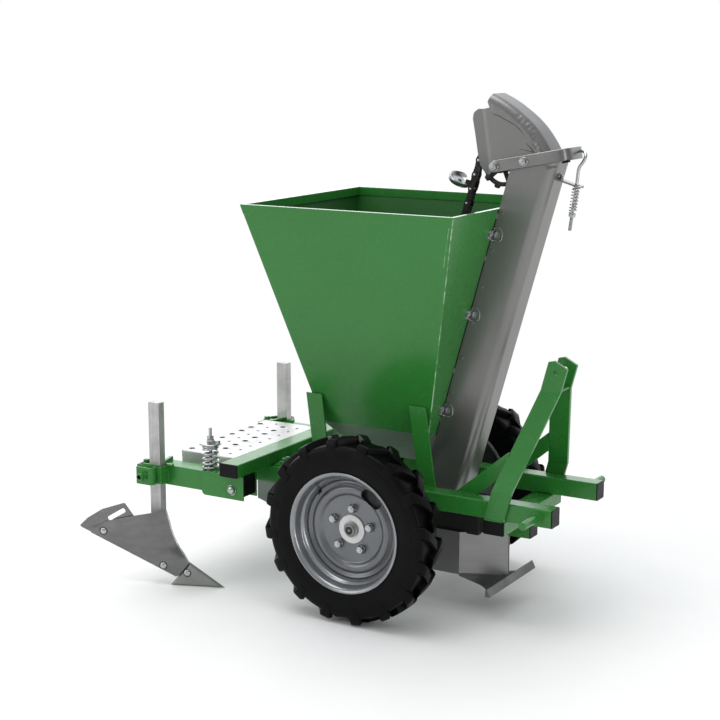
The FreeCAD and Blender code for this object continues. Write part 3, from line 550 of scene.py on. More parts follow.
    def bolt(self, M, d, head=True, washer=True, stick=0.0, wr=None, mat=None, nut=False):
        """A washer and a hexagon head or nut on the local XY plane, with the thread end showing."""
        old = self.mats[self.mi]
        self.use(mat or ZINC)
        z = 0.0
        if washer:
            R = wr or d * 1.15
            t = max(1.4, d * 0.17)
            self.lathe([(0, 0), (R, 0), (R, t * 0.7), (R - t * 0.3, t), (0, t)], 32, M)
            z = t
        Mh = M @ Matrix.Translation((0, 0, z))
        self.hexa(Mh, d * 1.6, d * (0.8 if nut else 0.66), 0)
        if stick > 0:
            z2 = d * (0.8 if nut else 0.66)
            self.thread(Mh @ Matrix.Translation((0, 0, z2 - 1)), d / 2 * 0.96, stick + 1)
        self.use(old)
        return self

    def thread(self, M, r, L, pitch=None):
        pitch = pitch or max(1.5, r * 0.36)
        n = max(3, int(L / pitch))
        prof = [(0, 0)]
        for i in range(n):
            z = L * i / n
            prof += [(r * 0.90, z + L / n * 0.05), (r, z + L / n * 0.5)]
        prof += [(r * 0.90, L - 0.1), (r * 0.7, L), (0, L)]
        return self.lathe(prof, 20, M)

    def dome(self, M, r, h, n=28):
        return self.lathe([(0, 0), (r, 0)] + [(r * math.cos(rad(a)), h * math.sin(rad(a)))
                                              for a in range(10, 90, 10)] + [(0, h)], n, M)

    def mirrored(self):
        """Adds the other side of the machine."""
        bm = self.bm.copy()
        bm.transform(Matrix.Scale(-1, 4, (0, 1, 0)))
        bmesh.ops.reverse_faces(bm, faces=bm.faces)
        me = bpy.data.meshes.new("tmp")
        bm.to_mesh(me)
        bm.free()
        self.bm.from_mesh(me)
        bpy.data.meshes.remove(me)
        return self

    def done(self, body, slot, replaces=(), flip=False, name=None, sharp=38, keep=False, weighted=True):
        bm = self.bm.copy() if keep else self.bm
        if flip:
            bm.transform(Matrix.Scale(-1, 4, (0, 1, 0)))
            bmesh.ops.reverse_faces(bm, faces=bm.faces)
        bm.transform(TO_ROW)
        for f in bm.faces:
            f.smooth = True
        for e in bm.edges:
            if len(e.link_faces) == 2:
                e.smooth = e.calc_face_angle(0.0) < rad(sharp)
        me = bpy.data.meshes.new(name or self.name)
        bm.to_mesh(me)
        bm.free()
        for m in self.mats:
            me.materials.append(m)
        o = bpy.data.objects.new(name or self.name, me)
        scene.collection.objects.link(o)
        if weighted:
            w = o.modifiers.new("normals", "WEIGHTED_NORMAL")
            w.keep_sharp = True
            w.weight = 60
        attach(o, body)
        if replaces:
            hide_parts(*replaces)
        return o


def do_bevel(bm, w, segs, ang):
    es = [e for e in bm.edges if len(e.link_faces) == 2 and e.calc_face_angle(0.0) > rad(ang)]
    if es:
        bmesh.ops.bevel(bm, geom=es, offset=w, offset_type="OFFSET", segments=segs, profile=0.5,
                        affect="EDGES", clamp_overlap=True)


def from_cad(P, node, bev=1.0, segs=2, ang=28, flat=0.6):
    """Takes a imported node's own shape into a piece, with its edges broken as real edges are."""
    bm = bmesh.new()
    bm.from_mesh(NODES[node].data)
    bm.transform(TO_ROW.inverted())
    bmesh.ops.remove_doubles(bm, verts=bm.verts, dist=0.02)
    bmesh.ops.dissolve_limit(bm, angle_limit=rad(flat), verts=bm.verts, edges=bm.edges)
    if bev > 0:
        do_bevel(bm, bev, segs, ang)
    return P.take(bm)


def arc_pts(c, r, a0, a1, n, plane="XZ"):
    out = []
    for i in range(n + 1):
        a = rad(a0 + (a1 - a0) * i / n)
        u, v = r * math.cos(a), r * math.sin(a)
        out.append(V(c[0] + u, c[1], c[2] + v) if plane == "XZ" else V(c[0] + u, c[1] + v, c[2]))
    return out


def square_tube(P, p0, p1, w, h, r, wall, up=(0, 0, 1)):
    """A rounded rectangular tube from p0 to p1, w across and h up."""
    p0, p1 = Vector(p0), Vector(p1)
    d = (p1 - p0).normalized()
    up = Vector(up)
    sd = up.cross(d).normalized()
    up = d.cross(sd)

    def ring(p, a, b, rr):
        return [p + sd * q.x + up * q.y for q in rrect(-a / 2, -b / 2, a / 2, b / 2, rr, 5)]
    ri = max(0.8, r - wall)
    e = 0.5
    P.ring_loft([ring(p0, w - 2 * wall, h - 2 * wall, ri), ring(p0, w - 2 * e, h - 2 * e, r - e * 0.5),
                 ring(p0 + d * e, w, h, r), ring(p1 - d * e, w, h, r), ring(p1, w - 2 * e, h - 2 * e, r - e * 0.5),
                 ring(p1, w - 2 * wall, h - 2 * wall, ri)], True, False, None, True)


def cap_plug(P, p, d, w, h, r, t, up=(0, 0, 1)):
    """A plastic plug on a tube's end: p is the end's centre and d the way out."""
    p, d, up = Vector(p), Vector(d).normalized(), Vector(up)
    sd = up.cross(d).normalized()

    def ring(off, k, rr):
        return [p + d * off + sd * q.x + up * q.y for q in rrect(-w / 2 + k, -h / 2 + k, w / 2 - k, h / 2 - k,
                                                                 max(0.6, rr - k), 4)]
    P.ring_loft([ring(0.05, 0.2, r), ring(t * 0.55, 0.0, r), ring(t * 0.85, 0.5, r), ring(t * 0.98, 1.6, r),
                 ring(t, 3.2, r)])


# ------------------------------------------------------------------ beams
B = "frame"


def beams():
    P = Part("beams_painted", GREEN)
    for s in (1, -1):
        square_tube(P, (-426, s * 152, 327), (519, s * 152, 327), 50, 50, 4.5, 3.2)
    P.done(B, "green_paint", ["main_beams"])
    P = Part("front_crossbeam_painted", GREEN)
    square_tube(P, (357, -184, 282), (357, 184, 282), 62, 40, 4.5, 3.2)
    for s in (1, -1):
        for x in (328.5, 385.5):
            P.weld((x, s * 178, 302.2), (x, s * 126, 302.2), 1.9, seed=int(x) + s)
    P.done(B, "green_paint", ["front_crossbeam"])
    P = Part("rear_crossbeam_painted", GREEN)
    square_tube(P, (-395, -343, 371.5), (-395, 343, 371.5), 62, 39, 4.5, 3.2)
    for s in (1, -1):
        # the plank's carrying arms, bent flats with a clamp bolt
        P.box(-649, -426, s * 146 - 6, s * 146 + 6, 356, 369, 1.6)
        P.weld((-426, s * 139, 362), (-426, s * 153, 362), 2.0, seed=5 + s)
        P.bolt(Matrix.Translation((-330, s * 160, 356.4)), 11, nut=True, stick=9, mat=GREEN)
        P.bolt(Matrix.Translation((-330, s * 141, 356.4)), 11, nut=True, stick=9, mat=GREEN)
        P.slab(rounded([(-358, s * 132), (-318, s * 132), (-318, s * 172), (-358, s * 172)], 4), 352.05, 356.5,
               bev=0.8)
    P.done(B, "green_paint", ["rear_crossbeam"])
    P = Part("opener_bar_painted", GREEN)
    square_tube(P, (388, 0, 229.5), (172, 0, 229.5), 50, 35, 4, 3)
    P.box(335, 380, -24, 24, 246.5, 262.2, 1.4)
    for s in (1, -1):
        P.weld((336, s * 23.5, 261.5), (379, s * 23.5, 261.5), 1.8, seed=9 + s)
        P.weld((336, s * 24.2, 247.5), (379, s * 24.2, 247.5), 1.8, seed=12 + s)
    P.done(B, "green_paint", ["opener_bar"])
    P = Part("end_caps_plastic", PLASTIC)
    for s in (1, -1):
        cap_plug(P, (519, s * 152, 327), (1, 0, 0), 50, 50, 4.5, 3)
        cap_plug(P, (357, s * 184, 282), (0, s, 0), 62, 40, 4.5, 3)
        cap_plug(P, (-395, s * 343, 371.5), (0, s, 0), 62, 39, 4.5, 3)
    cap_plug(P, (388, 0, 229.5), (1, 0, 0), 50, 35, 4, 2.5)
    P.done(B, "black_plastic", ["end_caps"])


def headstock():
    """The two bent flats that rise and lean together to the top link hole."""
    P = Part("headstock_bars_painted", GREEN)
    from_cad(P, "headstock_bars", 1.6, 2)
    for s in (1, -1):
        # bush in the top link hole
        P.lathe([(6.0, -4.8), (9.75, -4.8), (9.75, 4.8), (6.0, 4.8)], 32, Matrix.Translation((460, s * 33, 690)) @ AX_Y, True)
    P.use(GREEN)
    for s in (1, -1):
        P.weld((332, s * 188.2, 302.5), (384, s * 188.2, 302.5), 2.0, seed=21 + s)
        P.weld((330, s * 186.5, 303), (330, s * 178, 303), 2.0, seed=23 + s)
    P.done(B, "green_paint", ["headstock_bars"])
    P = Part("headstock_spacer_painted", GREEN)
    from_cad(P, "headstock_spacer", 0.8, 2)
    P.done(B, "green_paint", ["headstock_spacer"])
    P = Part("headstock_braces_painted", GREEN)
    for s in (1, -1):
        M = AX_NY if s < 0 else Matrix.Scale(-1, 4, (0, 1, 0)) @ AX_NY
        P.slab(rounded([(217.5, 352), (283, 352), (366.5, 424), (376.4, 484.9)], [1, 1, 3, 3], 3), 130, 138, M, 1.2)
        P.weld((221, s * 138.6, 352.6), (280, s * 138.6, 352.6), 1.9, seed=25 + s)
    P.done(B, "green_paint", ["headstock_braces"])
    P = Part("hitch_pins_painted", GREEN)
    for s in (1, -1):
        P.rod((478, s * 176.5, 327), (478, s * 189, 327), 16, 1.2, 36)
        P.rod((478, s * 188, 327), (478, s * 267, 327), 11, 1.6, 36)
        n = 40
        ring = [V(478 + 16.4 * math.cos(TAU * i / n), s * 178.2, 327 + 16.4 * math.sin(TAU * i / n))
                for i in range(n)]
        P.sweep(ring, 1.9, 7, True)
    P.done(B, "green_paint", ["hitch_pins"])


# ------------------------------------------------------------------ hopper
def rounded_ring(x0, x1, hy, z, r, n=6):
    return [V(p.x, p.y, z) for p in rrect(x0, -hy, x1, hy, r, n)]


def hop_at(z, grow=0.0):
    t = (z - 487) / (1121.5 - 487)
    return (-236 + (-366 + 236) * t - grow, 112.1 + (292.9 - 112.1) * t + grow, 100 + 214 * t + grow)


def hopper():
    P = Part("hopper_shell", GREEN)
    t = 3.0
    zs = [487, 489.5, 560, 640, 720, 800, 880, 960, 1030, 1092, 1096]
    outer, inner = [], []
    for z in zs:
        a, b, y = hop_at(z)
        outer.append(rounded_ring(a, b, y, z, 2.8))
        inner.append(rounded_ring(a + t, b - t, y - t, z, 1.4))
    P.ring_loft(outer + inner[::-1], True, False, None, True)
    # faces inside the shell take the darker green, painted shade
    P.mats.append(INSIDE_SHADE)
    for f in P.bm.faces:
        c = f.calc_center_median()
        a, b, y = hop_at(c.z)
        if y - abs(c.y) > 2.0 and c.x - a > 2.0 and b - c.x > 2.0:
            f.material_index = 1
    # the folded front corners, with a pale painted highlight along each
    P.use(EDGE_HIGHLIGHT)
    for s in (1, -1):
        line = []
        for i in range(61):
            z = 490 + (1118 - 490) * i / 60
            a, b, y = hop_at(z)
            w = 0.5 * noise.noise(Vector((z * 0.02, s, 0)))
            line.append(V(b - 1.3 + w * 0.6, s * (y - 0.7), z))
        P.sweep(line, 1.5, 8)
        line = []
        for i in range(13):
            z = 985 + (1094 - 985) * i / 12
            a, b, y = hop_at(z)
            line.append(V(b - 12.5 + i * 0.25, s * (y + 0.1), z))
        P.sweep(line, 0.8, 8)
    P.done(B, "green_paint", ["hopper_front_panel", "hopper_rear_panel", "hopper_sides"])
    # rim: a folded box edge, the front's turned flange standing proud
    P = Part("hopper_rim_painted", GREEN)
    a, b, y = hop_at(1121.5)
    prof = [(13.2, 1096.2), (None, 1095.4), (None, 1096.6), (None, 1119.2), (0.7, 1120.8), (2.0, 1121.5),
            (11.2, 1121.5), (12.6, 1120.9), (13.2, 1119.2)]
    rings = []
    for i, (g, z) in enumerate(prof):
        if g is None:
            aa, bb, yy = hop_at(z, 0.5 if i == 2 else 0.0)
            rings.append(rounded_ring(aa, bb, yy, z, 2.8))
        else:
            rings.append(rounded_ring(a + g, b - g, y - g, z, max(1.6, 2.8 - g * 0.2)))
    P.ring_loft(rings, True, False, None, True)
    # faces looking up take the lighter green: a painted highlight on the rim's top
    P.mats.append(RIM_GLOSS_HIGHLIGHT)
    P.bm.normal_update()
    for f in P.bm.faces:
        if f.normal.z > 0.6:
            f.material_index = 1
    P.done(B, "green_paint", ["hopper_rim"])
    if "hopper_chute" in NODES:
        # chute sheet with a painted green reflection
        P = Part("hopper_chute_sheet", CHUTE_GREEN_REFLECTION)
        from_cad(P, "hopper_chute", 1.2, 2)
        P.done(B, "grey_steel", ["hopper_chute"])
    P = Part("hopper_legs_painted", GREEN)
    from_cad(P, "hopper_legs", 1.0, 2)
    for s in (1, -1):
        for (xa, xb) in ((104, 150), (-236, -191)):
            P.weld((xa, s * 136.6, 352.6), (xb, s * 136.6, 352.6), 1.8, seed=int(xa) + s)
    P.done(B, "green_paint", ["hopper_legs"])


# ------------------------------------------------------------------ elevator
def channel_pts(v0, v1, hy, r, n=8, k=0.0):
    """Half round the channel: from its free edge at v0, over both front folds, to the other free edge."""
    P = [(v0, -hy + k)]
    for i in range(n + 1):
        a = rad(-90 + 90 * i / n)
        P.append((v1 - r + (r - k) * math.cos(a), -hy + r + (r - k) * math.sin(a)))
    for i in range(n + 1):
        a = rad(90 * i / n)
        P.append((v1 - r + (r - k) * math.cos(a), hy - r + (r - k) * math.sin(a)))
    P.append((v0, hy - k))
    return P


def casing():
    """The folded elevator casing: a channel with two soft front folds, closed behind between its windows."""
    P = Part("elevator_casing", TUBE)
    rings = []
    stations = [(-60, 46)] + [(u, 46) for u in (-20, 60, 110, 300, 500, 700, 900, 962, 1010.4)] + \
        [(1010.7, 121)] + [(u, 121) for u in (1030, 1055, 1080)]
    for u, v0 in stations:
        # the hand-made sheet is not quite flat
        d = 0.5 * math.sin(u * 0.011) + 0.3 * math.sin(u * 0.031 + 1)
        ring = [V(v, y * (1 + 0.004 * d), u) for v, y in channel_pts(v0, 165, 53, 26)]
        ring += [V(v, y * (1 + 0.004 * d), u) for v, y in reversed(channel_pts(v0, 165, 53, 26, k=2.6))]
        rings.append(ring)
    P.ring_loft(rings, True, True, ELEV, False, 0.5)
    P.box(46, 49, -50.6, 50.6, 110, 962, 0.5, ELEV)
    # the sides run on behind the tension lever
    top = [(46.2, 1006), (46.2, 1027), (60, 1035), (122, 1064), (122, 1006)]
    P.slab(top, 50.45, 52.95, ELEV @ AX_NY, 0.4)
    P.slab(top, -52.95, -50.45, ELEV @ AX_NY, 0.4)
    # lower guard round the drive end, just ahead of the opener's stem; its sheet is near black as painted shade
    P.use(BOOT_SHADE)
    for s in (1, -1):
        P.box(96, 246, min(s * 53.4, s * 55.8), max(s * 53.4, s * 55.8), 208, 297, 0.6)
        P.box(96, 246, min(s * 48, s * 55.8), max(s * 48, s * 55.8), 296, 298.4, 0.8)
    P.box(243.8, 246.2, -55.6, 55.6, 208, 262, 0.6)
    P.use(TUBE)
    for s in (1, -1):
        for i in range(9):
            u = 60 + i * 105
            P.lathe([(0, 0.5), (2.6, 0.45), (4.2, 0.2), (5.2, 0.0)], 18,
                    ELEV @ Matrix.Translation((58, s * 53, u)) @ (AX_Y if s > 0 else AX_NY))
    P.done(B, "grey_steel", ["elevator_tube"], sharp=32)
    # black sealing strip between hopper and casing
    P = Part("casing_seal", SEAL)
    for s in (1, -1):
        P.box(41.0, 47.0, s * 53 - (0 if s > 0 else 3.4), s * 53 + (3.4 if s > 0 else 0), 238, 905, 1.0, ELEV)
    P.done(B, "black_plastic")
    P = Part("casing_welds", TUBE)
    for s in (1, -1):
        for i, u in enumerate((280, 430, 600, 760, 880)):
            P.weld(ELEV @ V(47, s * 55.0, u), ELEV @ V(47, s * 55.0, u + 16), 1.8, seed=31 + i + s)
    P.done(B, "grey_steel")


HC = HEAD @ Matrix.Translation((-101.2, 0, -151.3))
HOOD_R = 332.0


def hood_polar(deg, r):
    """Turns a distance from the shaft at an angle into the hood's own centre and back."""
    a = rad(deg)
    return V(r * math.cos(a), 0, r * math.sin(a))


def hood_out(deg):
    """How far the hood's outer sheet lies from the shaft at this angle."""
    a = rad(deg)
    cx, cz = -101.2, -151.3
    dx, dz = math.cos(a), math.sin(a)
    bq = -(dx * cx + dz * cz)
    return -bq + math.sqrt(bq * bq - (cx * cx + cz * cz - HOOD_R ** 2))


def hood():
    """The bent hood: its edge was drawn in with a hammer, which left a row of dents along the fold."""
    P = Part("elevator_hood_sheet", TUBE)
    skirt = [(17.5, 122.0), (35.8, 121.8), (43.3, 121.4), (59.6, 121.2), (79.1, 126.0), (93.8, 128.5), (101.7, 134.0),
             (110.4, 139.7)]

    def skirt_r(deg):
        for (a0, r0), (a1, r1) in zip(skirt, skirt[1:]):
            if deg <= a1:
                return r0 + (r1 - r0) * max(0, deg - a0) / (a1 - a0)
        return skirt[-1][1]
    N = 124
    dents = [(80, 147.5, 2.0), (74.5, 143.5, 2.6), (69, 146.5, 2.4), (63.5, 142.5, 3.3), (58.5, 144.5, 2.6),
             (54, 138.0, 3.6), (49.5, 138.0, 3.0), (45, 131.5, 3.3), (40.5, 133.5, 2.6), (35, 129, 2.8), (29, 131, 1.6)]

    def dent(x, z, sy):
        r, dg = math.hypot(x, z), math.degrees(math.atan2(z, x))
        tot = 0.0
        for d0, r0, dep in dents:
            tot += 0.60 * dep * math.exp(-((dg - d0) / 2.2) ** 2 - ((r - r0) / 5.6) ** 2)
        return tot if sy < 0 else 0.15 * tot
    rings = []
    for i in range(N + 1):
        deg = 17.6 + (110.4 - 17.6) * i / N
        g = max(0.0, min(1.0, (90 - deg) / 34))
        R = hood_out(deg) + 3.2 * g * g * (3 - 2 * g)
        a = rad(deg)
        nrm = (V(math.cos(a) * R + 101.2, 0, math.sin(a) * R + 151.3)).normalized()
        tip = V(math.cos(a) * R, 0, math.sin(a) * R)
        rs = skirt_r(deg) + 1.6 * noise.noise(Vector((deg * 0.16, 1.3, 0))) + 0.8 * noise.noise(
            Vector((deg * 0.6, 4.1, 0)))
        low = V(math.cos(a) * rs, 0, math.sin(a) * rs)
        ring = []
        for side in (0, 1):
            half = []
            for sy in (-1, 1):
                k = 0.0 if side == 0 else 2.4
                fr = 23.0
                pts = []
                # skirt from its cut edge to the fold
                fold0 = tip - nrm * fr
                for j in range(7):
                    q = low.lerp(fold0, j / 6)
                    # hammered dents in a row beside the fold
                    d = dent(q.x, q.z, sy) + 0.35 * noise.noise(Vector((deg * 0.12, 3.3 + sy, q.z * 0.02)))
                    pts.append(q + V(0, sy * (53 - k - d), 0))
                for j in range(1, 13):
                    t = rad(7.5 * j)
                    c = tip - nrm * fr
                    g = c + nrm * (fr * math.sin(t))
                    d = dent(g.x, g.z, sy)
                    pts.append(c + nrm * ((fr - k - d) * math.sin(t)) + V(0, sy * (53 - fr + (fr - k - d) *
                                                                                math.cos(t)), 0))
                if sy > 0:
                    pts.reverse()
                half += pts
            ring.append(half)
        rings.append(ring[0] + ring[1][::-1])
    P.ring_loft(rings, True, True, HEAD, False)
    P.mats.extend(HOOD_SHADE_BANDS)
    P.bm.normal_update()
    # faces take darker bands the nearer they lie to the hood's middle: painted shade
    for f in P.bm.faces:
        k = (52.0 - abs(f.calc_center_median().y)) / 20.0
        f.material_index = 1 + max(0, min(4, int(k * 5)))
    # dark lines of painted shade: along the open seam under the skirt's cut edge, and in two slits that end at the
    # lever
    P.use(DARK_AND_PAINTED_SHADE)
    for s in (1, -1):
        seam = []
        for i in range(60):
            deg = 110 - (110 - 58) * i / 59
            a = rad(deg)
            rs = skirt_r(deg) + 1.6 * noise.noise(Vector((deg * 0.16, 1.3, 0))) + 0.8 * noise.noise(
                Vector((deg * 0.6, 4.1, 0)))
            seam.append(HEAD @ V(math.cos(a) * (rs - 0.5), s * 50.9, math.sin(a) * (rs - 0.5)))
        P.sweep(seam, 1.5, 7, False, None, lambda t: 0.35 + 0.65 * min(1, t * 8, (1 - t) * 5))
        P.sweep([V(347, s * 50.3, 1281), V(362, s * 50.35, 1278), V(378, s * 50.4, 1275.6), V(391, s * 50.5, 1273)],
                0.9, 7, False, None, lambda t: 0.25 + 0.75 * t)
        P.sweep([V(366, s * 50.3, 1297), V(373, s * 50.35, 1290), V(381, s * 50.4, 1283), V(391, s * 50.5, 1273)],
                1.2, 7, False, None, lambda t: 0.3 + 0.7 * t)
    P.use(TUBE)
    # the flat bar that the tension rod passes through
    H = HEAD @ Matrix.Translation((0, 0, 13))
    P.use(LEVER)
    bar = rounded([(163, -12), (214, -12), (222, -20), (232, -20), (232, 20), (222, 20), (214, 12), (163, 12)],
                  [1, 6, 6, 5, 5, 6, 6, 1], 5)
    P.slab(bar, 0, 5, H, 0.8, [circle2(7.0, 24, 219, 0)])
    P.weld(HEAD @ V(165.5, -12, 18.6), HEAD @ V(165.5, 12, 18.6), 2.2, seed=71)
    P.bolt(HEAD @ Matrix.Translation((165.2, 0, 24)) @ AX_X, 8, nut=True, stick=3)
    P.done(B, "grey_steel", ["elevator_hood"], sharp=32)

    # the two ear plates, their rear strips turned inward
    P = Part("elevator_ear_plates", TUBE)
    # under the hood the plates keep inside its folded edge
    rim = []
    rim.append((243.0, 1382.6))
    for deg in (98, 94, 87, 80, 73, 66, 59, 52, 45, 38, 31, 24, 18):
        r = hood_out(deg) - (14.0 if deg > 100 else 18.0)
        rim.append((276.9 + r * math.cos(rad(deg)), 1232 + r * math.sin(rad(deg))))
    ear = rounded([(225.3, 1233.9), (217.7, 1264.1), (208.6, 1315.5), (200.7, 1354.6), (203.9, 1371.0),
                   (221.8, 1381.8)] + rim + [(414.0, 1246.0), (330.0, 1229.0), (270.5, 1221.0), (257.7, 1207.7),
                                             (240.6, 1216.1)],
                  [12, 0, 0, 14, 12, 12] + [0] * len(rim) + [6, 10, 6, 6, 8], 5)
    for s in (1, -1):
        def turn(x, z):
            # distance behind the crease line
            a, b = Vector((239.6, 1382.4)), Vector((261.2, 1241.3))
            d = (b - a).normalized()
            p = Vector((x, z)) - a
            back = (d.x * p.y - d.y * p.x)
            w = max(0.0, -back)
            return w * 0.30 if w < 3 else 0.9 + (w - 3) * 0.42
        G = Matrix.Identity(4)
        M = G if s < 0 else Matrix.Scale(-1, 4, (0, 1, 0))
        plate(P, ear, -50.2, -47.6, turn, M, 7.0, 0.5)
    P.done(B, "grey_steel", ["elevator_cheeks"], sharp=32)


CHAIN_R = 68.0
SPAN = 1010.7
LOOP = 2 * SPAN + TAU * CHAIN_R


def chain_at(s):
    """Centre and direction of the chain s mm along its loop, in ELEV's plane (v, u): up the front first."""
    s %= LOOP
    if s < SPAN:
        return (CHAIN_V + CHAIN_R, s), (0, 1)
    s -= SPAN
    if s < math.pi * CHAIN_R:
        a = s / CHAIN_R
        return (CHAIN_V + CHAIN_R * math.cos(a), SPAN + CHAIN_R * math.sin(a)), (-math.sin(a), math.cos(a))
    s -= math.pi * CHAIN_R
    if s < SPAN:
        return (CHAIN_V - CHAIN_R, SPAN - s), (0, -1)
    s -= SPAN
    a = math.pi + s / CHAIN_R
    return (CHAIN_V + CHAIN_R * math.cos(a), CHAIN_R * math.sin(a)), (-math.sin(a), math.cos(a))


CHAIN_V = 0.0


def chain():
    """A wide roller chain: 60 links on the loop, with flat brackets out to the cups."""
    P = Part("elevator_roller_chain", CHAIN)
    N = 60
    step = LOOP / N
    half = step / 2

    def place(s):
        (v, u), (tv, tu) = chain_at(s)
        # local X along travel, local Y across, local Z outward from the loop
        X = V(tv, 0, tu)
        Y = V(0, 1, 0)
        Z = X.cross(Y)
        m = Matrix((X, Y, Z)).transposed().to_4x4()
        m.translation = V(v, 0, u)
        return ELEV @ m
    for i in range(N):
        s = i * step + 7.0
        (v0, u0), _ = chain_at(s)
        (v1, u1), _ = chain_at(s + step)
        mid = ((v0 + v1) / 2, (u0 + u1) / 2)
        d = V(v1 - v0, 0, u1 - u0)
        L = d.length
        X = d.normalized()
        Z = X.cross(V(0, 1, 0))
        m = Matrix((X, V(0, 1, 0), Z)).transposed().to_4x4()
        m.translation = V(mid[0], 0, mid[1])
        m = ELEV @ m
        wide = i % 2
        yo = 12.2 if wide else 9.0
        h = 8.6
        # link plate outline: two round ends with a slight waist
        pts = []
        for a in range(-90, 91, 18):
            pts.append((L / 2 + h * math.cos(rad(a)), h * math.sin(rad(a))))
        pts.append((0, h * 0.80))
        for a in range(90, 271, 18):
            pts.append((-L / 2 + h * math.cos(rad(a)), h * math.sin(rad(a))))
        pts.append((0, -h * 0.80))
        flat = m @ Matrix.Rotation(rad(90), 4, "X")      # plate lies in local X, Z
        P.use(CHAIN)
        for sy in (1, -1):
            P.slab(pts, sy * yo - 1.3, sy * yo + 1.3, flat, 0.35, (), 1)
        pm = place(s)
        P.rod(pm @ V(0, -10.6, 0), pm @ V(0, 10.6, 0), 6.3, 0.6, 16)
        P.use(PIN)
        P.rod(pm @ V(0, -15.8, 0), pm @ V(0, 15.8, 0), 3.6, 0.7, 12)
    P.done(B, "black_steel", ["elevator_chain"])

    # brackets and cups
    spots = [("rear", u) for u in (84.0, 254.0, 424.0, 594.0, 764.0, 934.0)]
    Q = Part("elevator_cups_zinc", ZINC)
    frames = []
    for u in (84.0, 254.0, 424.0, 594.0, 764.0, 934.0):
        frames.append(ELEV @ Matrix.Translation((0, 0, u)) @ Matrix.Rotation(rad(180), 4, "Z"))
    frames.append(ELEV @ Matrix.Translation((0, 0, 111)) @ Matrix.Rotation(rad(180), 4, "X"))
    for base, ang in ((HEAD, 101.4), (ELEV, -49.7)):
        frames.append(base @ Matrix.Rotation(rad(-ang), 4, "Y") @ Matrix.Rotation(rad(180), 4, "X"))
    for k, fr in enumerate(frames):
        c = fr @ Matrix.Translation((113, 0, 0))
        if k == 5:
            # this one hangs loose on its bracket
            c = c @ Matrix.Translation((-1, 0, -5.5)) @ Matrix.Rotation(rad(-12), 4, "Y") @ Matrix.Rotation(rad(-9), 4, "X")
        else:
            c = c @ Matrix.Rotation(rad(9), 4, "Y")
        prof = [(6.5, 2.2), (12, 2.0), (19, 2.6), (23.5, 5.0), (26.5, 9.4), (28.4, 12.2), (31.0, 13.8), (33.6, 13.2),
                (34.9, 11.0), (34.6, 6.0), (33.2, 1.0), (29.6, -2.6), (24, -4.4), (16, -5.0), (6.5, -5.0)]
        Q.use(ZINC)
        Q.lathe(prof, 56, c, True)
        Q.use(CHAIN)
        # bracket plate from the chain under the bowl, folded up beside the chain
        arm = rounded([(68, -15), (96, -15), (113, -9.5), (122, 0), (113, 9.5), (96, 15), (68, 15)],
                      [2, 4, 6, 9, 6, 4, 2], 4)
        Q.slab(arm, -8.4, -5.6, fr, 0.5, [circle2(4.5, 16, 113, 0)])
        for sy in (1, -1):
            Q.box(60, 88, sy * 14.6 - 1.2, sy * 14.6 + 1.2, -10, 10, 0.6, fr)
        # a dark dome in the cup's centre hole: painted shade
        Q.use(DARK_AND_PAINTED_SHADE)
        Q.dome(c @ Matrix.Translation((0, 0, 1.2)), 6.6, 3.0)
    Q.done(B, "zinc", ["elevator_cups"])

    P = Part("elevator_sprockets_steel", SHEET)
    for (M, teeth, top) in ((HEAD, 10, True), (ELEV, 10, False)):
        Mx = M @ AX_NY                                  # local Z runs along -Y, X stays
        n = 120
        out = []
        for i in range(n):
            a = TAU * i / n
            t = (i % (n // teeth)) / (n // teeth)
            tooth = max(0.0, math.cos((t - 0.5) * TAU)) ** 1.2
            if top:
                r = 57 + 7 * min(1.0, 1.7 * max(0.0, math.cos((t - 0.5) * TAU)) ** 0.9)
            else:
                r = 50.5 + 7.5 * tooth
            out.append(Vector((r * math.cos(a), r * math.sin(a))))
        if top:
            P.use(CHAIN)
            hole = circle2(45, 60)
            P.slab(out, -3, 3, Mx, 0.5, [hole])
            for i in range(5):
                a = TAU * i / 5 + 0.35
                P.box(17, 47, -6.5, 6.5, -2.4, 2.4, 1.0, Mx @ Matrix.Rotation(a, 4, "Z"))
            P.lathe([(8.2, -25), (19, -25), (20, -24), (20, 24), (19, 25), (8.2, 25)], 40, Mx, True)
            P.use(ZINC)
            P.rod(M @ V(0, -67.5, 0), M @ V(0, 67.5, 0), 8, 1.0, 28)
            P.use(SHEET)
        else:
            P.slab(out, -3, 3, Mx, 0.5, [circle2(15.3, 40)])
            P.lathe([(15.2, -20), (25, -20), (26, -19), (26, 19), (25, 20), (15.2, 20)], 40, Mx, True)
    P.done(B, "grey_steel", ["elevator_sprockets"])


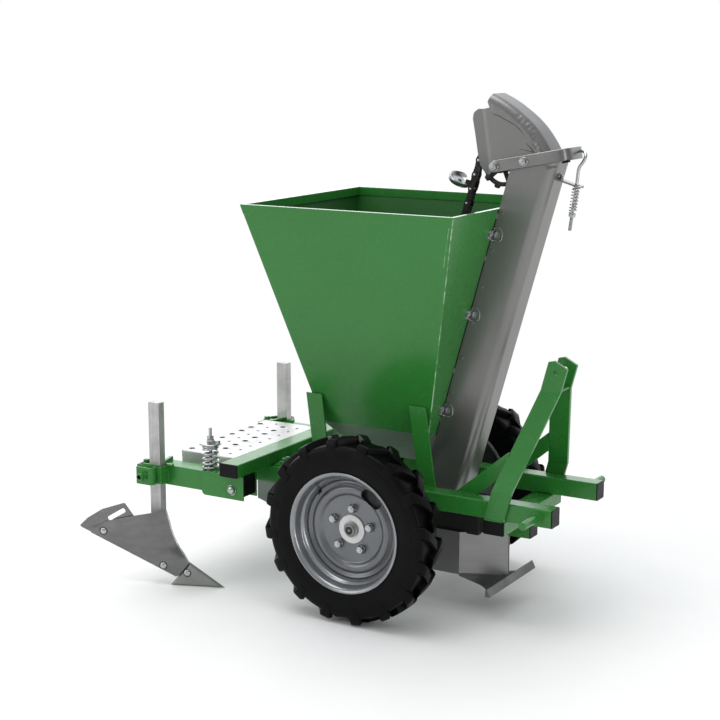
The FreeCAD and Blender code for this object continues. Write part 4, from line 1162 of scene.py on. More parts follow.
def tensioner():
    P = Part("tension_yoke_lever", LEVER)
    M = YOKE
    # one flat bar: along the near side, round both corners, and back along the far side
    mid = [V(-13.5, -59, 0)] + [V(x, -59, 0) for x in (-13, -11.5, -9.5, -6.5, -2.5, 2.5, 10, 30, 60, 90, 120, 150, 170)]
    for a in range(-80, 1, 10):
        mid.append(V(184 + 28 * math.cos(rad(a)), -31 + 28 * math.sin(rad(a)), 0))
    mid += [V(212, y, 0) for y in (-21, -7, 7, 21)]
    mid += [V(p.x, -p.y, 0) for p in reversed(mid[:-4])]
    rings = []
    for i, p in enumerate(mid):
        q0, q1 = mid[max(0, i - 1)], mid[min(len(mid) - 1, i + 1)]
        t = (q1 - q0).normalized()
        n = V(t.y, -t.x, 0)
        h = 16.0 if p.x > 2.5 else math.sqrt(max(0.4, 256 - (p.x - 2.5) ** 2))
        e = min(1.2, h * 0.4)
        rings.append([M @ (p + n * a + V(0, 0, z)) for a, z in (
            (-3, -h + e), (-3 + e, -h), (3 - e, -h), (3, -h + e), (3, h - e), (3 - e, h), (-3 + e, h), (-3, h - e))])
    P.ring_loft(rings, True, True)
    for s in (1, -1):
        T = M @ Matrix.Translation((3.5, s * 62, 0)) @ (AX_Y if s > 0 else AX_NY)
        P.bolt(T, 12, washer=True, wr=13, stick=2, nut=True, mat=ZINC)
        T = M @ Matrix.Translation((90, s * 62, 0)) @ (AX_Y if s > 0 else AX_NY)
        P.bolt(T, 10.5, washer=True, wr=12, nut=True, stick=1, mat=ZINC)
    P.rod(M @ V(90, -66, 0), M @ V(90, -50, 0), 5, 0.8, 20)
    P.rod(M @ V(90, 50, 0), M @ V(90, 66, 0), 5, 0.8, 20)
    P.use(RUBBER)
    P.box(194, 213, -56, -41, -21, -14.5, 1.2, M)
    P.done(B, "zinc", ["tension_yoke"])

    P = Part("tension_rod_zinc", ZINC)
    line = [(474.3, 0, 1068.5), (490.1, 0, 1184.0), (495.9, 0, 1232.0), (507.0, 0, 1249.0), (512.5, 1.5, 1261.0),
            (510.0, 8, 1270.0), (502.5, 16, 1275.5), (490.0, 24, 1276.0), (478.0, 26, 1273.0)]
    pts = smooth_path([V(*q) for q in line], 10, keep=2)
    P.sweep(pts, 4.4, 14)
    a, b = V(474.3, 0, 1068.5), V(490.1, 0, 1184.0)
    A = along(a, b)
    P.thread(A @ Matrix.Translation((0, 0, 0.5)), 4.9, 46)
    P.lathe([(4.4, 0), (9.6, 0), (10.2, 0.8), (10.2, 1.4), (9.6, 2.0), (4.4, 2.0)], 28,
            A @ Matrix.Translation((0, 0, 46.5)), True)
    P.hexa(A @ Matrix.Translation((0, 0, 37)), 17, 8.5)
    P.lathe([(4.4, 0), (9.6, 0), (10.2, 0.8), (9.6, 1.6), (4.4, 1.6)], 28,
            A @ Matrix.Translation((0, 0, 112)), True)
    coil = []
    turns, z0, z1, rw = 7.5, 50.5, 110.5, 1.9
    for i in range(int(turns * 24) + 1):
        t = i / (turns * 24)
        # the turns lie a little closer towards both ends
        e = t * turns
        k = min(e, turns - e)
        f = t
        z = z0 + (z1 - z0) * (0.5 - 0.5 * math.cos(math.pi * f)) * 0.12 + (z1 - z0) * f * 0.88
        coil.append(A @ V(9.1 * math.cos(TAU * e), 9.1 * math.sin(TAU * e), z))
    P.sweep(coil, rw, 8)
    P.done(B, "zinc", ["tension_rod"])


def smooth_path(P, per=8, keep=0):
    """Catmull-Rom through the points; the first segments can be kept straight."""
    out = []
    n = len(P)
    for i in range(n - 1):
        p0, p1, p2, p3 = P[max(0, i - 1)], P[i], P[i + 1], P[min(n - 1, i + 2)]
        m1 = (p2 - p0) * 0.5
        m2 = (p3 - p1) * 0.5
        L = (p2 - p1).length
        if m1.length > L:
            m1 = m1.normalized() * L
        if m2.length > L:
            m2 = m2.normalized() * L
        k = per if i >= keep - 1 else 3
        for j in range(k):
            t = j / k
            t2, t3 = t * t, t * t * t
            out.append(p1 * (2 * t3 - 3 * t2 + 1) + m1 * (t3 - 2 * t2 + t) + p2 * (-2 * t3 + 3 * t2) + m2 * (t3 - t2))
    out.append(P[-1])
    return out


def toggles():
    """Three over-centre clips on each side that hold the casing to the hopper's front."""
    P = Part("toggle_clips", ZINC)
    slope = math.degrees(math.atan2(180.8, 634.5))
    for s in (-1, 1):
        for k, z in enumerate((1051.5, 830.0, 553.5)):
            x = 112.1 + 180.8 * (z - 487) / 634.5
            # local X out of the hopper's front, Y across, Z up its slope
            o = Matrix.Translation((x, s * 66, z)) @ Matrix.Rotation(rad(slope), 4, "Y")
            flat = o @ AX_X                                    # slab in local (-Z, Y), its Z outward
            P.slab(rrect(-15, -9, 15, 9, 3.5), 0.0, 1.6, flat, 0.4)
            P.slab(rrect(-4.5, -12, 4.5, 11, 3), 1.4, 4.6, flat, 0.9)
            P.slab(rrect(-12.5, -4, 12.5, 4, 3), 1.4, 6.0, flat, 1.0)
            for q in (-10.5, 10.5):
                P.lathe([(0, 0), (2.8, 0), (2.4, 1.2), (0, 1.7)], 14, flat @ Matrix.Translation((q, 0, 6.0)))
            # the bail: from the base, round the casing's edge and on to its side
            y0 = s * 57.5
            pts = [o @ V(4, -s * 3, 12.5), o @ V(5.5, s * -8.5, 14.5)]
            cas = V(x, s * 55.2, z)
            for dx, dz in ((8, 17), (18, 19.5), (26, 16), (30.5, 7), (31, -3), (28, -12.5), (19, -17.5), (8, -16)):
                pts.append(cas + V(dx, 0, dz))
            pts += [o @ V(5.5, s * -8.5, -14.5), o @ V(4, -s * 3, -12.5)]
            P.sweep(smooth_path(pts, 6), 1.5, 9)
            # the hook plate on the casing that the bail pulls against
            hk = Matrix.Translation((x + 13, s * 53, z)) @ (AX_Y if s > 0 else AX_NY)
            P.slab(rrect(-7, -8, 8, 8, 3), 0, 1.5, hk, 0.4)
            P.slab(rrect(3, -7, 8, 7, 2), 1.4, 5.0, hk, 0.8)
    P.done(B, "zinc")


# ------------------------------------------------------------------ opener, guards, plank
def opener():
    P = Part("opener_box_steel", SHEET)
    from_cad(P, "opener_box", 1.0, 2, 20)
    P.use(BARE)
    for s in (1, -1):
        P.weld((186, s * 24, 211.5), (120, s * 24, 211.5), 2.0, seed=52 + s)
    P.weld((315.5, 0, 96), (315.5, 0, 204), 1.6, seed=55)
    P.done(B, "grey_steel", ["opener_box"])
    P = Part("opener_sole_steel", SOLE)
    for s in (1, -1):
        # a wing each side: its inner edge follows the box, its outer edge drops and runs out to the bar
        out = smooth_path([V(193, 65, 86), V(214, 60.5, 79), V(239, 57, 71.5), (V(260, 66, 70.5)), V(282, 83, 70.2),
                           V(301, 108, 70), V(317, 146.6, 70)], 5)
        rings = []
        for i, q in enumerate(out):
            t = i / (len(out) - 1)
            a = V(193 + 123 * t, 65 * (1 - t), 88.4)
            ring = [a, a.lerp(q, 0.5) + V(0, 0, 1.2 * math.sin(math.pi * t)), q + V(0, 0, 0.4), q - V(0, 0, 1.8),
                    a.lerp(q, 0.5) - V(0, 0, 3.2), a - V(0, 0, 4.2)]
            rings.append([V(p.x, s * p.y, p.z) for p in ring])
        P.ring_loft(rings, True, True)
        P.weld((193, s * 65.4, 89.2), (314, s * 1.8, 89.2), 2.4, seed=70 + s, step=2.2)
    bar = [(315.4, 69.2), (315.4, 88.2), (318.4, 91.0), (321.4, 90.4), (330.4, 71.2), (329.2, 68.6)]
    P.slab(rounded(bar, [0.4, 1, 1.6, 1.6, 1.4, 1.2], 3), -147, 147, AX_NY, 0.5)
    P.done(B, "grey_steel", ["opener_sole"])
    P = Part("soil_guards_steel", GUARD)
    from_cad(P, "soil_guards", 0.8, 2)
    P.done(B, "grey_steel", ["soil_guards"])


def plank():
    P = Part("step_plank_galvanised", GALV)
    deck = [(-650, -218), (-427.2, -218), (-427.2, 218), (-650, 218)]
    holes, big, small = [], [], []
    for k in range(-5, 5):
        for x, y0 in ((-632, 7.5), (-547, 7.0)):
            y = y0 + 51 * k
            if abs(y) < 204:
                holes.append(circle2(8.6, 24, x, y))
                big.append((x, y))
        for x in (-588, -500):
            y = 17 + 51 * k + (15 if x == -588 else 0)
            if abs(y) < 208:
                holes.append(circle2(4.0, 14, x, y))
                small.append((x, y))
    P.slab(deck, 369, 372, None, 0.0, holes)
    for x, y in big:
        T = Matrix.Translation((x, y, 372))
        P.use(GALV)
        P.lathe([(9.0, 1.5), (9.8, 1.9), (10.8, 1.6), (12.4, 0.7), (14.4, 0.05), (15.4, -0.3), (15.4, -1.5),
                 (9.0, -1.5)], 30, T, True)
        # dark hole walls: painted shade inside the big holes
        P.use(DARK_AND_PAINTED_SHADE)
        P.lathe([(7.4, -7), (7.9, 0.6), (8.4, 1.5), (9.1, 1.6), (9.1, -1), (8.4, -7)], 30, T, True)
    for x, y in small:
        T = Matrix.Translation((x, y, 372))
        P.use(GALV)
        P.lathe([(4.2, 0.9), (5.2, 1.1), (6.4, 0.6), (8.0, 0.0), (8.0, -0.8), (4.2, -0.8)], 20, T, True)
        # dark hole walls: painted shade inside the small holes
        P.use(DARK_AND_PAINTED_SHADE)
        P.lathe([(3.0, -5), (3.2, 0.5), (3.6, 1.1), (4.6, 1.25), (4.6, -5)], 20, T, True)
    P.use(GALV)
    # turned edges: round bend, then the skirt
    def skirt(p0, p1, out):
        p0, p1, out = Vector(p0), Vector(p1), Vector(out)
        prof = []
        for a in range(0, 91, 15):
            prof.append((3.0 * math.sin(rad(a)), 369 + 3.0 * math.cos(rad(a))))
        prof += [(3.0, 335), (2.4, 334), (0.6, 334), (0.0, 335)]
        prof += [(0.4 * 0, 368.6), (-1.5, 369.0)]
        P.ring_loft([[V(p.x, p.y, 0) + out * a + V(0, 0, z) for a, z in prof] for p in (p0, p1)], True, True)
    skirt((-650, -218, 0), (-650, 218, 0), (-1, 0, 0))
    skirt((-428, -218, 0), (-650, -218, 0), (0, -1, 0))
    skirt((-650, 218, 0), (-428, 218, 0), (0, 1, 0))
    # the corner folds stay open at the rear; a dark block in each stands for the shade in the opening, painted shade
    P.use(DARK_AND_PAINTED_SHADE)
    for s in (1, -1):
        P.box(-652.6, -645, s * 217.4 - 2.6, s * 217.4 + 2.6, 352, 370.4, 1.0)
    P.use(GALV)
    P.done(B, "zinc", ["step_plank"])


# ------------------------------------------------------------------ sprung ridger arms
def saddles():
    P = Part("arm_saddles_painted", GREEN)
    bm = bmesh.new()
    bm.from_mesh(NODES["arm_saddles"].data)
    bm.transform(TO_ROW.inverted())
    bmesh.ops.remove_doubles(bm, verts=bm.verts, dist=0.02)
    bmesh.ops.dissolve_limit(bm, angle_limit=rad(0.6), verts=bm.verts, edges=bm.edges)
    low = [e for e in bm.edges if all(abs(v.co.x + 505) < 0.6 and v.co.z < 282.6 for v in e.verts)]
    if low:
        bmesh.ops.bevel(bm, geom=low, offset=11, segments=5, affect="EDGES", profile=0.5, clamp_overlap=True)
    do_bevel(bm, 1.2, 2, 28)
    P.take(bm)
    P.use(ZINC)
    for s in (1, -1):
        T = Matrix.Translation((-401, s * 322.6, 309.5)) @ (AX_Y if s > 0 else AX_NY)
        P.lathe([(0, 0), (15.6, 0), (15.6, 1.8), (15, 2.4), (0, 2.4)], 32, T)
        P.dome(T @ Matrix.Translation((0, 0, 2.4)), 13.0, 7.0)
    P.done(B, "green_paint", ["arm_saddles"])
    P = Part("spring_rods_zinc", ZINC)
    for s in (1, -1):
        y = s * 288
        P.rod((-497, y, 288), (-497, y, 405), 4.9, 0.8, 20)
        P.thread(Matrix.Translation((-497, y, 404)), 5.0, 69, 2.0)
        P.lathe([(5, 0), (31, 0), (32, 0.8), (32, 3.6), (31, 4.4), (5, 4.4)], 48,
                Matrix.Translation((-497, y, 424)), True)
        P.hexa(Matrix.Translation((-497, y, 428.5)), 18.5, 11)
        P.hexa(Matrix.Translation((-497, y, 440.5)) @ Matrix.Rotation(0.5, 4, "Z"), 18.5, 9.5)
        P.bolt(Matrix.Translation((-475.5, y - s * 3, 428.4)), 9, washer=True, wr=9.5, nut=True)
        P.hexa(Matrix.Translation((-497, y, 286)), 17, 7)
    P.done(B, "zinc", ["spring_rods"])


def springs():
    for node, s, j in (("arm_spring_right", -1, "ridger_arm_right_lift"),
                       ("arm_spring_left", 1, "ridger_arm_left_lift")):
        P = Part(node + "_coil", ZINC)
        turns, rw = 6.0, 3.5
        z0, z1 = 350.4 + rw, 423.4 - rw
        pts = []
        K = int(turns * 28)
        for i in range(K + 1):
            e = turns * i / K
            # the end turns lie closed, the rest are open
            lead = min(e, 1.0) * 0.30 + min(max(e - 1.0, 0), turns - 2) * 1.0 + max(0, e - (turns - 1)) * 0.30
            tot = 0.6 + turns - 2
            pts.append(V(-497 + (25 - rw) * math.cos(TAU * e), s * 288 + (25 - rw) * math.sin(TAU * e),
                         z0 + (z1 - z0) * lead / tot))
        P.sweep(pts, rw, 12)
        o = P.done(B, "zinc", [node], weighted=False)
        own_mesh(o)


def arms():
    """The sprung arms: a square tube each, and a bent flat round the shank with its clamp screw."""
    for side, s in (("right", -1), ("left", 1)):
        body = "arm_%s_body" % side
        P = Part("ridger_arm_%s_painted" % side, GREEN)
        # the tube is taken from the imported shape
        bm = bmesh.new()
        bm.from_mesh(NODES["ridger_arm_" + side].data)
        bm.transform(TO_ROW.inverted())
        bmesh.ops.remove_doubles(bm, verts=bm.verts, dist=0.02)
        bmesh.ops.dissolve_limit(bm, angle_limit=rad(0.6), verts=bm.verts, edges=bm.edges)
        do_bevel(bm, 2.0, 3, 28)
        P.take(bm)
        # bent flat: its outer skin has round corners and stands 1 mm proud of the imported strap
        path = []
        yo, yi = 352.4, 317.2
        for a in range(0, 91, 15):
            path.append((-642 + 13.6 * math.sin(rad(90 - a)), yo - 14 + 13.6 * math.sin(rad(a)) - 2.4 + 2.4))
        path = [(-630.5, yi)] + [(-630.5, 330.0)] + [(-641.5 + 11 * math.cos(rad(a)), 338.9 + 11 * math.sin(rad(a)))
                                                   for a in range(0, 91, 15)]
        path += [(-704.5 - 9 * math.sin(rad(a)), 340.9 + 9 * math.cos(rad(a))) for a in range(0, 91, 15)]
        path += [(-713.5, 330.0), (-713.5, 306.0)]
        rings = []
        for i, (x, y) in enumerate(path):
            x0, y0 = path[max(0, i - 1)]
            x1, y1 = path[min(len(path) - 1, i + 1)]
            t = Vector((x1 - x0, y1 - y0)).normalized()
            n = Vector((t.y, -t.x))
            w, e = 2.9, 0.9
            rings.append([V(x + n.x * a, s * (y + n.y * a), z) for a, z in (
                (-w, 300.2 + e), (-w + e, 299.6), (w - e, 299.6), (w, 300.2 + e), (w, 350.2 - e), (w - e, 350.8),
                (-w + e, 350.8), (-w, 350.2 - e))])
        P.ring_loft(rings, True, True)
        # turned lip along the top of the flat, and the two ears welded on the tube
        P.box(-700, -640, s * 346 - 3.2, s * 346 + 3.2, 349.6, 354.5, 1.2)
        P.box(-632, -609, s * 318 - 9, s * 318 + 3, 349.6, 356.5, 1.4)
        P.box(-716, -702, s * 314 - 9, s * 314 + 5, 349.6, 357.5, 1.4)
        P.weld((-628, s * 318, 350.6), (-628, s * 341, 350.6), 1.8, seed=60 + s)
        P.weld((-627.4, s * 318.4, 303), (-627.4, s * 318.4, 346), 2.0, seed=62 + s)
        # the flat doubles back on itself in front of the clamp
        path = [(-700, 350.4), (-690, 350.4), (-675, 350.4), (-664, 350.4)]
        path += [(-657 + 13.2 * math.sin(rad(a)), 363.6 - 13.2 * math.cos(rad(a))) for a in range(0, 181, 12)]
        path += [(-664, 376.8), (-675, 376.8), (-688, 376.8), (-697, 376.8)]
        rings = []
        for i, (x, y) in enumerate(path):
            x0, y0 = path[max(0, i - 1)]
            x1, y1 = path[min(len(path) - 1, i + 1)]
            t = Vector((x1 - x0, y1 - y0)).normalized()
            n = Vector((t.y, -t.x))
            w, e = 2.7, 0.9
            rings.append([V(x + n.x * a, s * (y + n.y * a), z) for a, z in (
                (-w, 300.5 + e), (-w + e, 300.4), (w - e, 300.4), (w, 300.5 + e), (w, 351 - e), (w - e, 351.2),
                (-w + e, 351.2), (-w, 351 - e))])
        P.ring_loft(rings, True, True)
        # lug across the tube's top
        d = Vector((-15.0, s * -59.0)).normalized()
        nn = Vector((-d.y, d.x))
        base = [Vector((-643.5, s * 321)) + nn * 5, Vector((-643.5, s * 321)) - nn * 5,
                Vector((-658.5, s * 262)) - nn * 5, Vector((-658.5, s * 262)) + nn * 5]
        P.slab([(q.x, q.y) for q in base], 349.6, 361.5, None, 1.6)
        # head of the screw in the inner face
        T = Matrix.Translation((-659, s * 259.2, 345 - 12)) @ (AX_NY if s > 0 else AX_Y)
        P.hexa(T, 17, 9)
        # boss of the clamp screw, painted with the flat, and a dark disc in the screw's socket as painted shade
        T = Matrix.Translation((-671, s * 379.4, 327)) @ (AX_Y if s > 0 else AX_NY)
        P.hexa(T, 26, 9)
        P.lathe([(6.4, 8.0), (10.4, 8.0), (10.6, 9.2), (10.4, 20.2), (9.4, 21.6), (7.2, 21.6), (6.4, 20.6)], 32, T, True)
        P.use(DARK_AND_PAINTED_SHADE)
        P.lathe([(0, 12.0), (6.5, 12.0), (6.5, 20.4), (5.6, 20.8), (5.2, 13.2), (0, 13.0)], 28, T)
        P.done(body, "green_paint", ["ridger_arm_" + side])
        P = Part("ridger_arm_%s_plug" % side, PLASTIC)
        cap_plug(P, (-366, s * 288, 321), (1, 0, 0), 57, 57.5, 3, 3.4)
        P.done(body, "black_plastic")


def shanks():
    for side, s in (("right", -1), ("left", 1)):
        body = "ridger_%s_body" % side
        P = Part("shank_%s_galvanised" % side, SHANKM)
        from_cad(P, "shank_" + side, 1.6, 2)
        P.done(body, "zinc", ["shank_" + side])


def plate(P, poly, n0, n1, fn, M, step=9.0, bev=0.6):
    """A curved plate: the polygon (s, z) cut into small cells, its face moved by fn(s, z) along n."""
    bm = bmesh.new()
    vs = [bm.verts.new((p[0], 0, p[1])) for p in poly]
    bm.faces.new(vs)
    xs = [p[0] for p in poly]
    zs = [p[1] for p in poly]
    k = int(min(xs) / step)
    while k * step < max(xs):
        bmesh.ops.bisect_plane(bm, geom=bm.verts[:] + bm.edges[:] + bm.faces[:], plane_co=(k * step, 0, 0),
                               plane_no=(1, 0, 0))
        k += 1
    k = int(min(zs) / step)
    while k * step < max(zs):
        bmesh.ops.bisect_plane(bm, geom=bm.verts[:] + bm.edges[:] + bm.faces[:], plane_co=(0, 0, k * step),
                               plane_no=(0, 0, 1))
        k += 1
    bmesh.ops.remove_doubles(bm, verts=bm.verts, dist=0.05)
    bmesh.ops.recalc_face_normals(bm, faces=bm.faces)
    base = list(bm.faces)
    ext = bmesh.ops.extrude_face_region(bm, geom=base, use_keep_orig=True)
    top = set(g for g in ext["geom"] if isinstance(g, bmesh.types.BMVert))
    for v in bm.verts:
        off = fn(v.co.x, v.co.z)
        v.co.y = (n1 if v in top else n0) + off
    bmesh.ops.recalc_face_normals(bm, faces=bm.faces)
    if bev:
        do_bevel(bm, bev, 2, 60)
    P.take(bm, M)


LEAD = [(104, 71.5), (118, 92), (138, 118), (155, 157), (165.5, 197), (173, 226)]


def edge_depth(s, z):
    """How far inward the mouldboard curls: only near its leading (front, lower) edge."""
    k = 0
    while k < len(LEAD) - 2 and z > LEAD[k + 1][1]:
        k += 1
    (s0, z0), (s1, z1) = LEAD[k], LEAD[k + 1]
    dist = (s - s0 - (s1 - s0) * (z - z0) / (z1 - z0)) * 0.90     # back from the leading edge
    w = max(0.0, min(1.0, 1 - dist / 72.0))
    t = max(0.0, min(1.0, (z - 74) / 46.0))
    return -9.0 * w * w * t * t * (3 - 2 * t)


def ridgers():
    for side, s in (("right", -1), ("left", 1)):
        body = "ridger_%s_body" % side
        M = BLADE if s < 0 else Matrix.Scale(-1, 4, (0, 1, 0)) @ BLADE
        P = Part("mouldboard_%s_steel" % side, BARE)
        board = rounded([(173, 226), (195, 219), (271, 204), (350, 185), (401, 157), (400, 147), (145, 27),
                         (135, 32), (106, 67), (104, 71.5), (118, 92), (138, 118), (155, 157), (165.5, 197)],
                        [3, 5, 0, 30, 8, 4, 2, 2, 1, 1, 8, 12, 14, 8], 5)
        plate(P, board, -5, 0, edge_depth, M)
        # ground, worn front edge, drawn lighter: wear and a painted highlight along its thickness
        P.use(EDGE)
        run = smooth_path([V(a, 0, b) for a, b in LEAD], 10)
        run = [V(q.x - 0.2, edge_depth(q.x, q.z) - 1.2, q.z) for q in run]
        P.sweep([M @ q for q in run], 2.3, 10, False, None, lambda t: 0.55 + 0.45 * min(1, t * 6, (1 - t) * 6))
        P.use(BARE)
        # wing plate behind, with its slot
        wing = rounded([(271, 204), (297, 241), (366, 218), (410, 190), (437, 164), (330, 114), (250, 150)],
                       [2, 6, 26, 20, 5, 4, 4], 5)
        T = M @ AX_X
        up = Matrix(((1, 0, 0, 0), (0, 0, 1, 0), (0, 1, 0, 0), (0, 0, 0, 1)))   # slab's Z to the blade's Y
        slot = rounded([(292, 214), (344.5, 183.4), (351, 194.4), (299, 226)], 5.4, 5)
        P.slab(wing, -9, -5, M @ up, 0.7, [slot])
        for (bs, bz) in ((361, 154), (182, 59), (110.5, 40)):
            n = edge_depth(bs, bz) if bs > 150 else 0
            T = M @ Matrix.Translation((bs, n, bz)) @ AX_Y
            # a dark disc round each bolt's recess: painted shade
            P.use(DARK_AND_PAINTED_SHADE)
            P.lathe([(0, -0.4), (12.2, -0.4), (12.2, 0.25), (11.6, 0.45), (0, 0.45)], 30, T)
            P.use(ZINC)
            P.dome(T @ Matrix.Translation((0, 0, 0.4)), 9.6, 4.2)
            P.use(BARE)
            P.bolt(M @ Matrix.Translation((bs, n - 9.2, bz)) @ AX_NY, 10, nut=True, stick=7, mat=ZINC)
        P.done(body, "bare_steel", ["mouldboard_" + side])
        P = Part("ridger_share_%s_steel" % side, SHARE)
        share = [(0, 0), (163, 0), (135, 32), (104, 71)]
        bm = bmesh.new()
        # ground bevels along the point's two working edges
        inset = [(16, 5), (154, 5), (131, 29), (102, 63)]
        o0 = [bm.verts.new((a, -8, b)) for a, b in share]
        o1 = [bm.verts.new((a, -6.2, b)) for a, b in share]
        o2 = [bm.verts.new((a, 0, b)) for a, b in inset]
        bm.faces.new(o0)
        bm.faces.new(o2)
        for a, b in ((o0, o1), (o1, o2)):
            for i in range(4):
                j = (i + 1) % 4
                bm.faces.new((a[i], a[j], b[j], b[i]))
        bmesh.ops.recalc_face_normals(bm, faces=bm.faces)
        do_bevel(bm, 0.5, 1, 20)
        P.take(bm, M)
        P.done(body, "bare_steel", ["ridger_share_" + side])


# ------------------------------------------------------------------ axle and wheels
def axle():
    for node, mat, slot in (("axle", SHEET, "grey_steel"), ("axle_bearings", GREEN, "green_paint")):
        if node in NODES:
            P = Part(node + "_finished", mat)
            from_cad(P, node, 1.0, 2)
            if node == "axle_bearings":
                for s in (1, -1):
                    for x in (-32, 32):
                        P.bolt(Matrix.Translation((x, s * 152, 240)) @ Matrix.Rotation(math.pi, 4, "X"), 10, nut=True)
            P.done(B, slot, [node])


def tyre():
    P = Part("tyre_rubber_part", RUBBER)
    prof = [(157, 38), (157, 44.2), (158.5, 45.4), (166, 45.4), (169, 45.0), (171, 46.6), (176, 47.4), (178, 46.8),
            (184, 48.0), (195, 48.9), (205, 49.0), (212, 48.7), (214.5, 47.6), (222, 47.6), (232, 46.6),
            (238.5, 43.0), (241.5, 36.0), (242.6, 20.0), (243, 0)]
    outer = prof + [(r, -y) for r, y in reversed(prof[:-1])]
    inner = [(157, -38), (172, -38), (205, -42), (232, -39), (237, -30), (237.5, 0), (237, 30), (232, 39),
             (205, 42), (172, 38)]
    Mw = AX_Y                                            # local Z along +Y
    P.lathe(outer + inner, 160, Mw, True)
    # thin moulded rings on the walls
    for s in (1, -1):
        for r, y in ((189, 48.4), (199, 48.95)):
            P.lathe([(r - 0.9, y - 0.4), (r - 0.5, y + 0.1), (r + 0.5, y + 0.1), (r + 0.9, y - 0.4)], 160,
                    Mw if s > 0 else AX_NY)
    # chevron lugs, 16 a side, the sides staggered by half a pitch
    path = [(-7, -4, 259.6, 238), (4, 6, 260, 238), (20, 21, 260, 238), (33, 31.5, 259.2, 236),
            (40, 36, 257.2, 232), (44.6, 38.2, 252.0, 226), (47.4, 39.6, 240, 216), (48.7, 40.4, 226, 208),
            (49.0, 41, 214.5, 204)]
    for s in (1, -1):
        for i in range(16):
            th0 = TAU * (i + (0.5 if s > 0 else 0)) / 16
            rings = []
            for k, (y, arc, hi, lo) in enumerate(path):
                w = 12.5 + 2.0 * min(1, k / 4)
                g = 1.6
                if k < 5:
                    ring = [(lo, -w - 5.5), (hi - 3.0, -w - 1.4), (hi - 0.8, -w + 0.4), (hi, -w + g + 0.6),
                            (hi, w - g - 0.6), (hi - 0.8, w - 0.4), (hi - 3.0, w + 1.4), (lo, w + 5.5)]
                    pts = []
                    for r, a in ring:
                        th = th0 - (arc - a) / 250.0
                        pts.append(V(r * math.sin(th), s * y, r * math.cos(th)))
                else:
                    # down the shoulder: the lug's outer face turns to the side wall
                    depth = (3.4, 3.0, 2.2, 1.0)[k - 5] if k - 5 < 4 else 1.0
                    yy = y
                    ring = [(yy - 9, -w - 4), (yy - 2.2, -w - 1.2), (yy - 0.6, -w + 0.4), (yy, -w + 2.2),
                            (yy, w - 2.2), (yy - 0.6, w - 0.4), (yy - 2.2, w + 1.2), (yy - 9, w + 4)]
                    pts = []
                    for y2, a in ring:
                        th = th0 - (arc - a) / 250.0
                        pts.append(V(hi * math.sin(th), s * y2, hi * math.cos(th)))
                rings.append(pts)
            P.ring_loft(rings, True, True)
    # the lugs are placed with the profile's mid-plane at y = 0; move both wheels into place
    return P


def carve(bm, cutters):
    """Cuts closed meshes out of a closed mesh."""
    me = bpy.data.meshes.new("c0")
    bm.to_mesh(me)
    bm.free()
    o = bpy.data.objects.new("c0", me)
    scene.collection.objects.link(o)
    tmp = []
    for i, c in enumerate(cutters):
        m2 = bpy.data.meshes.new("c%d" % (i + 1))
        c.to_mesh(m2)
        c.free()
        o2 = bpy.data.objects.new("c%d" % (i + 1), m2)
        scene.collection.objects.link(o2)
        md = o.modifiers.new("b", "BOOLEAN")
        md.operation, md.solver, md.object = "DIFFERENCE", "EXACT", o2
        tmp.append(o2)
    dg = bpy.context.evaluated_depsgraph_get()
    dg.update()
    res = bpy.data.meshes.new_from_object(o.evaluated_get(dg))
    out = bmesh.new()
    out.from_mesh(res)
    for q in [o] + tmp:
        m = q.data
        bpy.data.objects.remove(q)
        bpy.data.meshes.remove(m)
    bpy.data.meshes.remove(res)
    return out


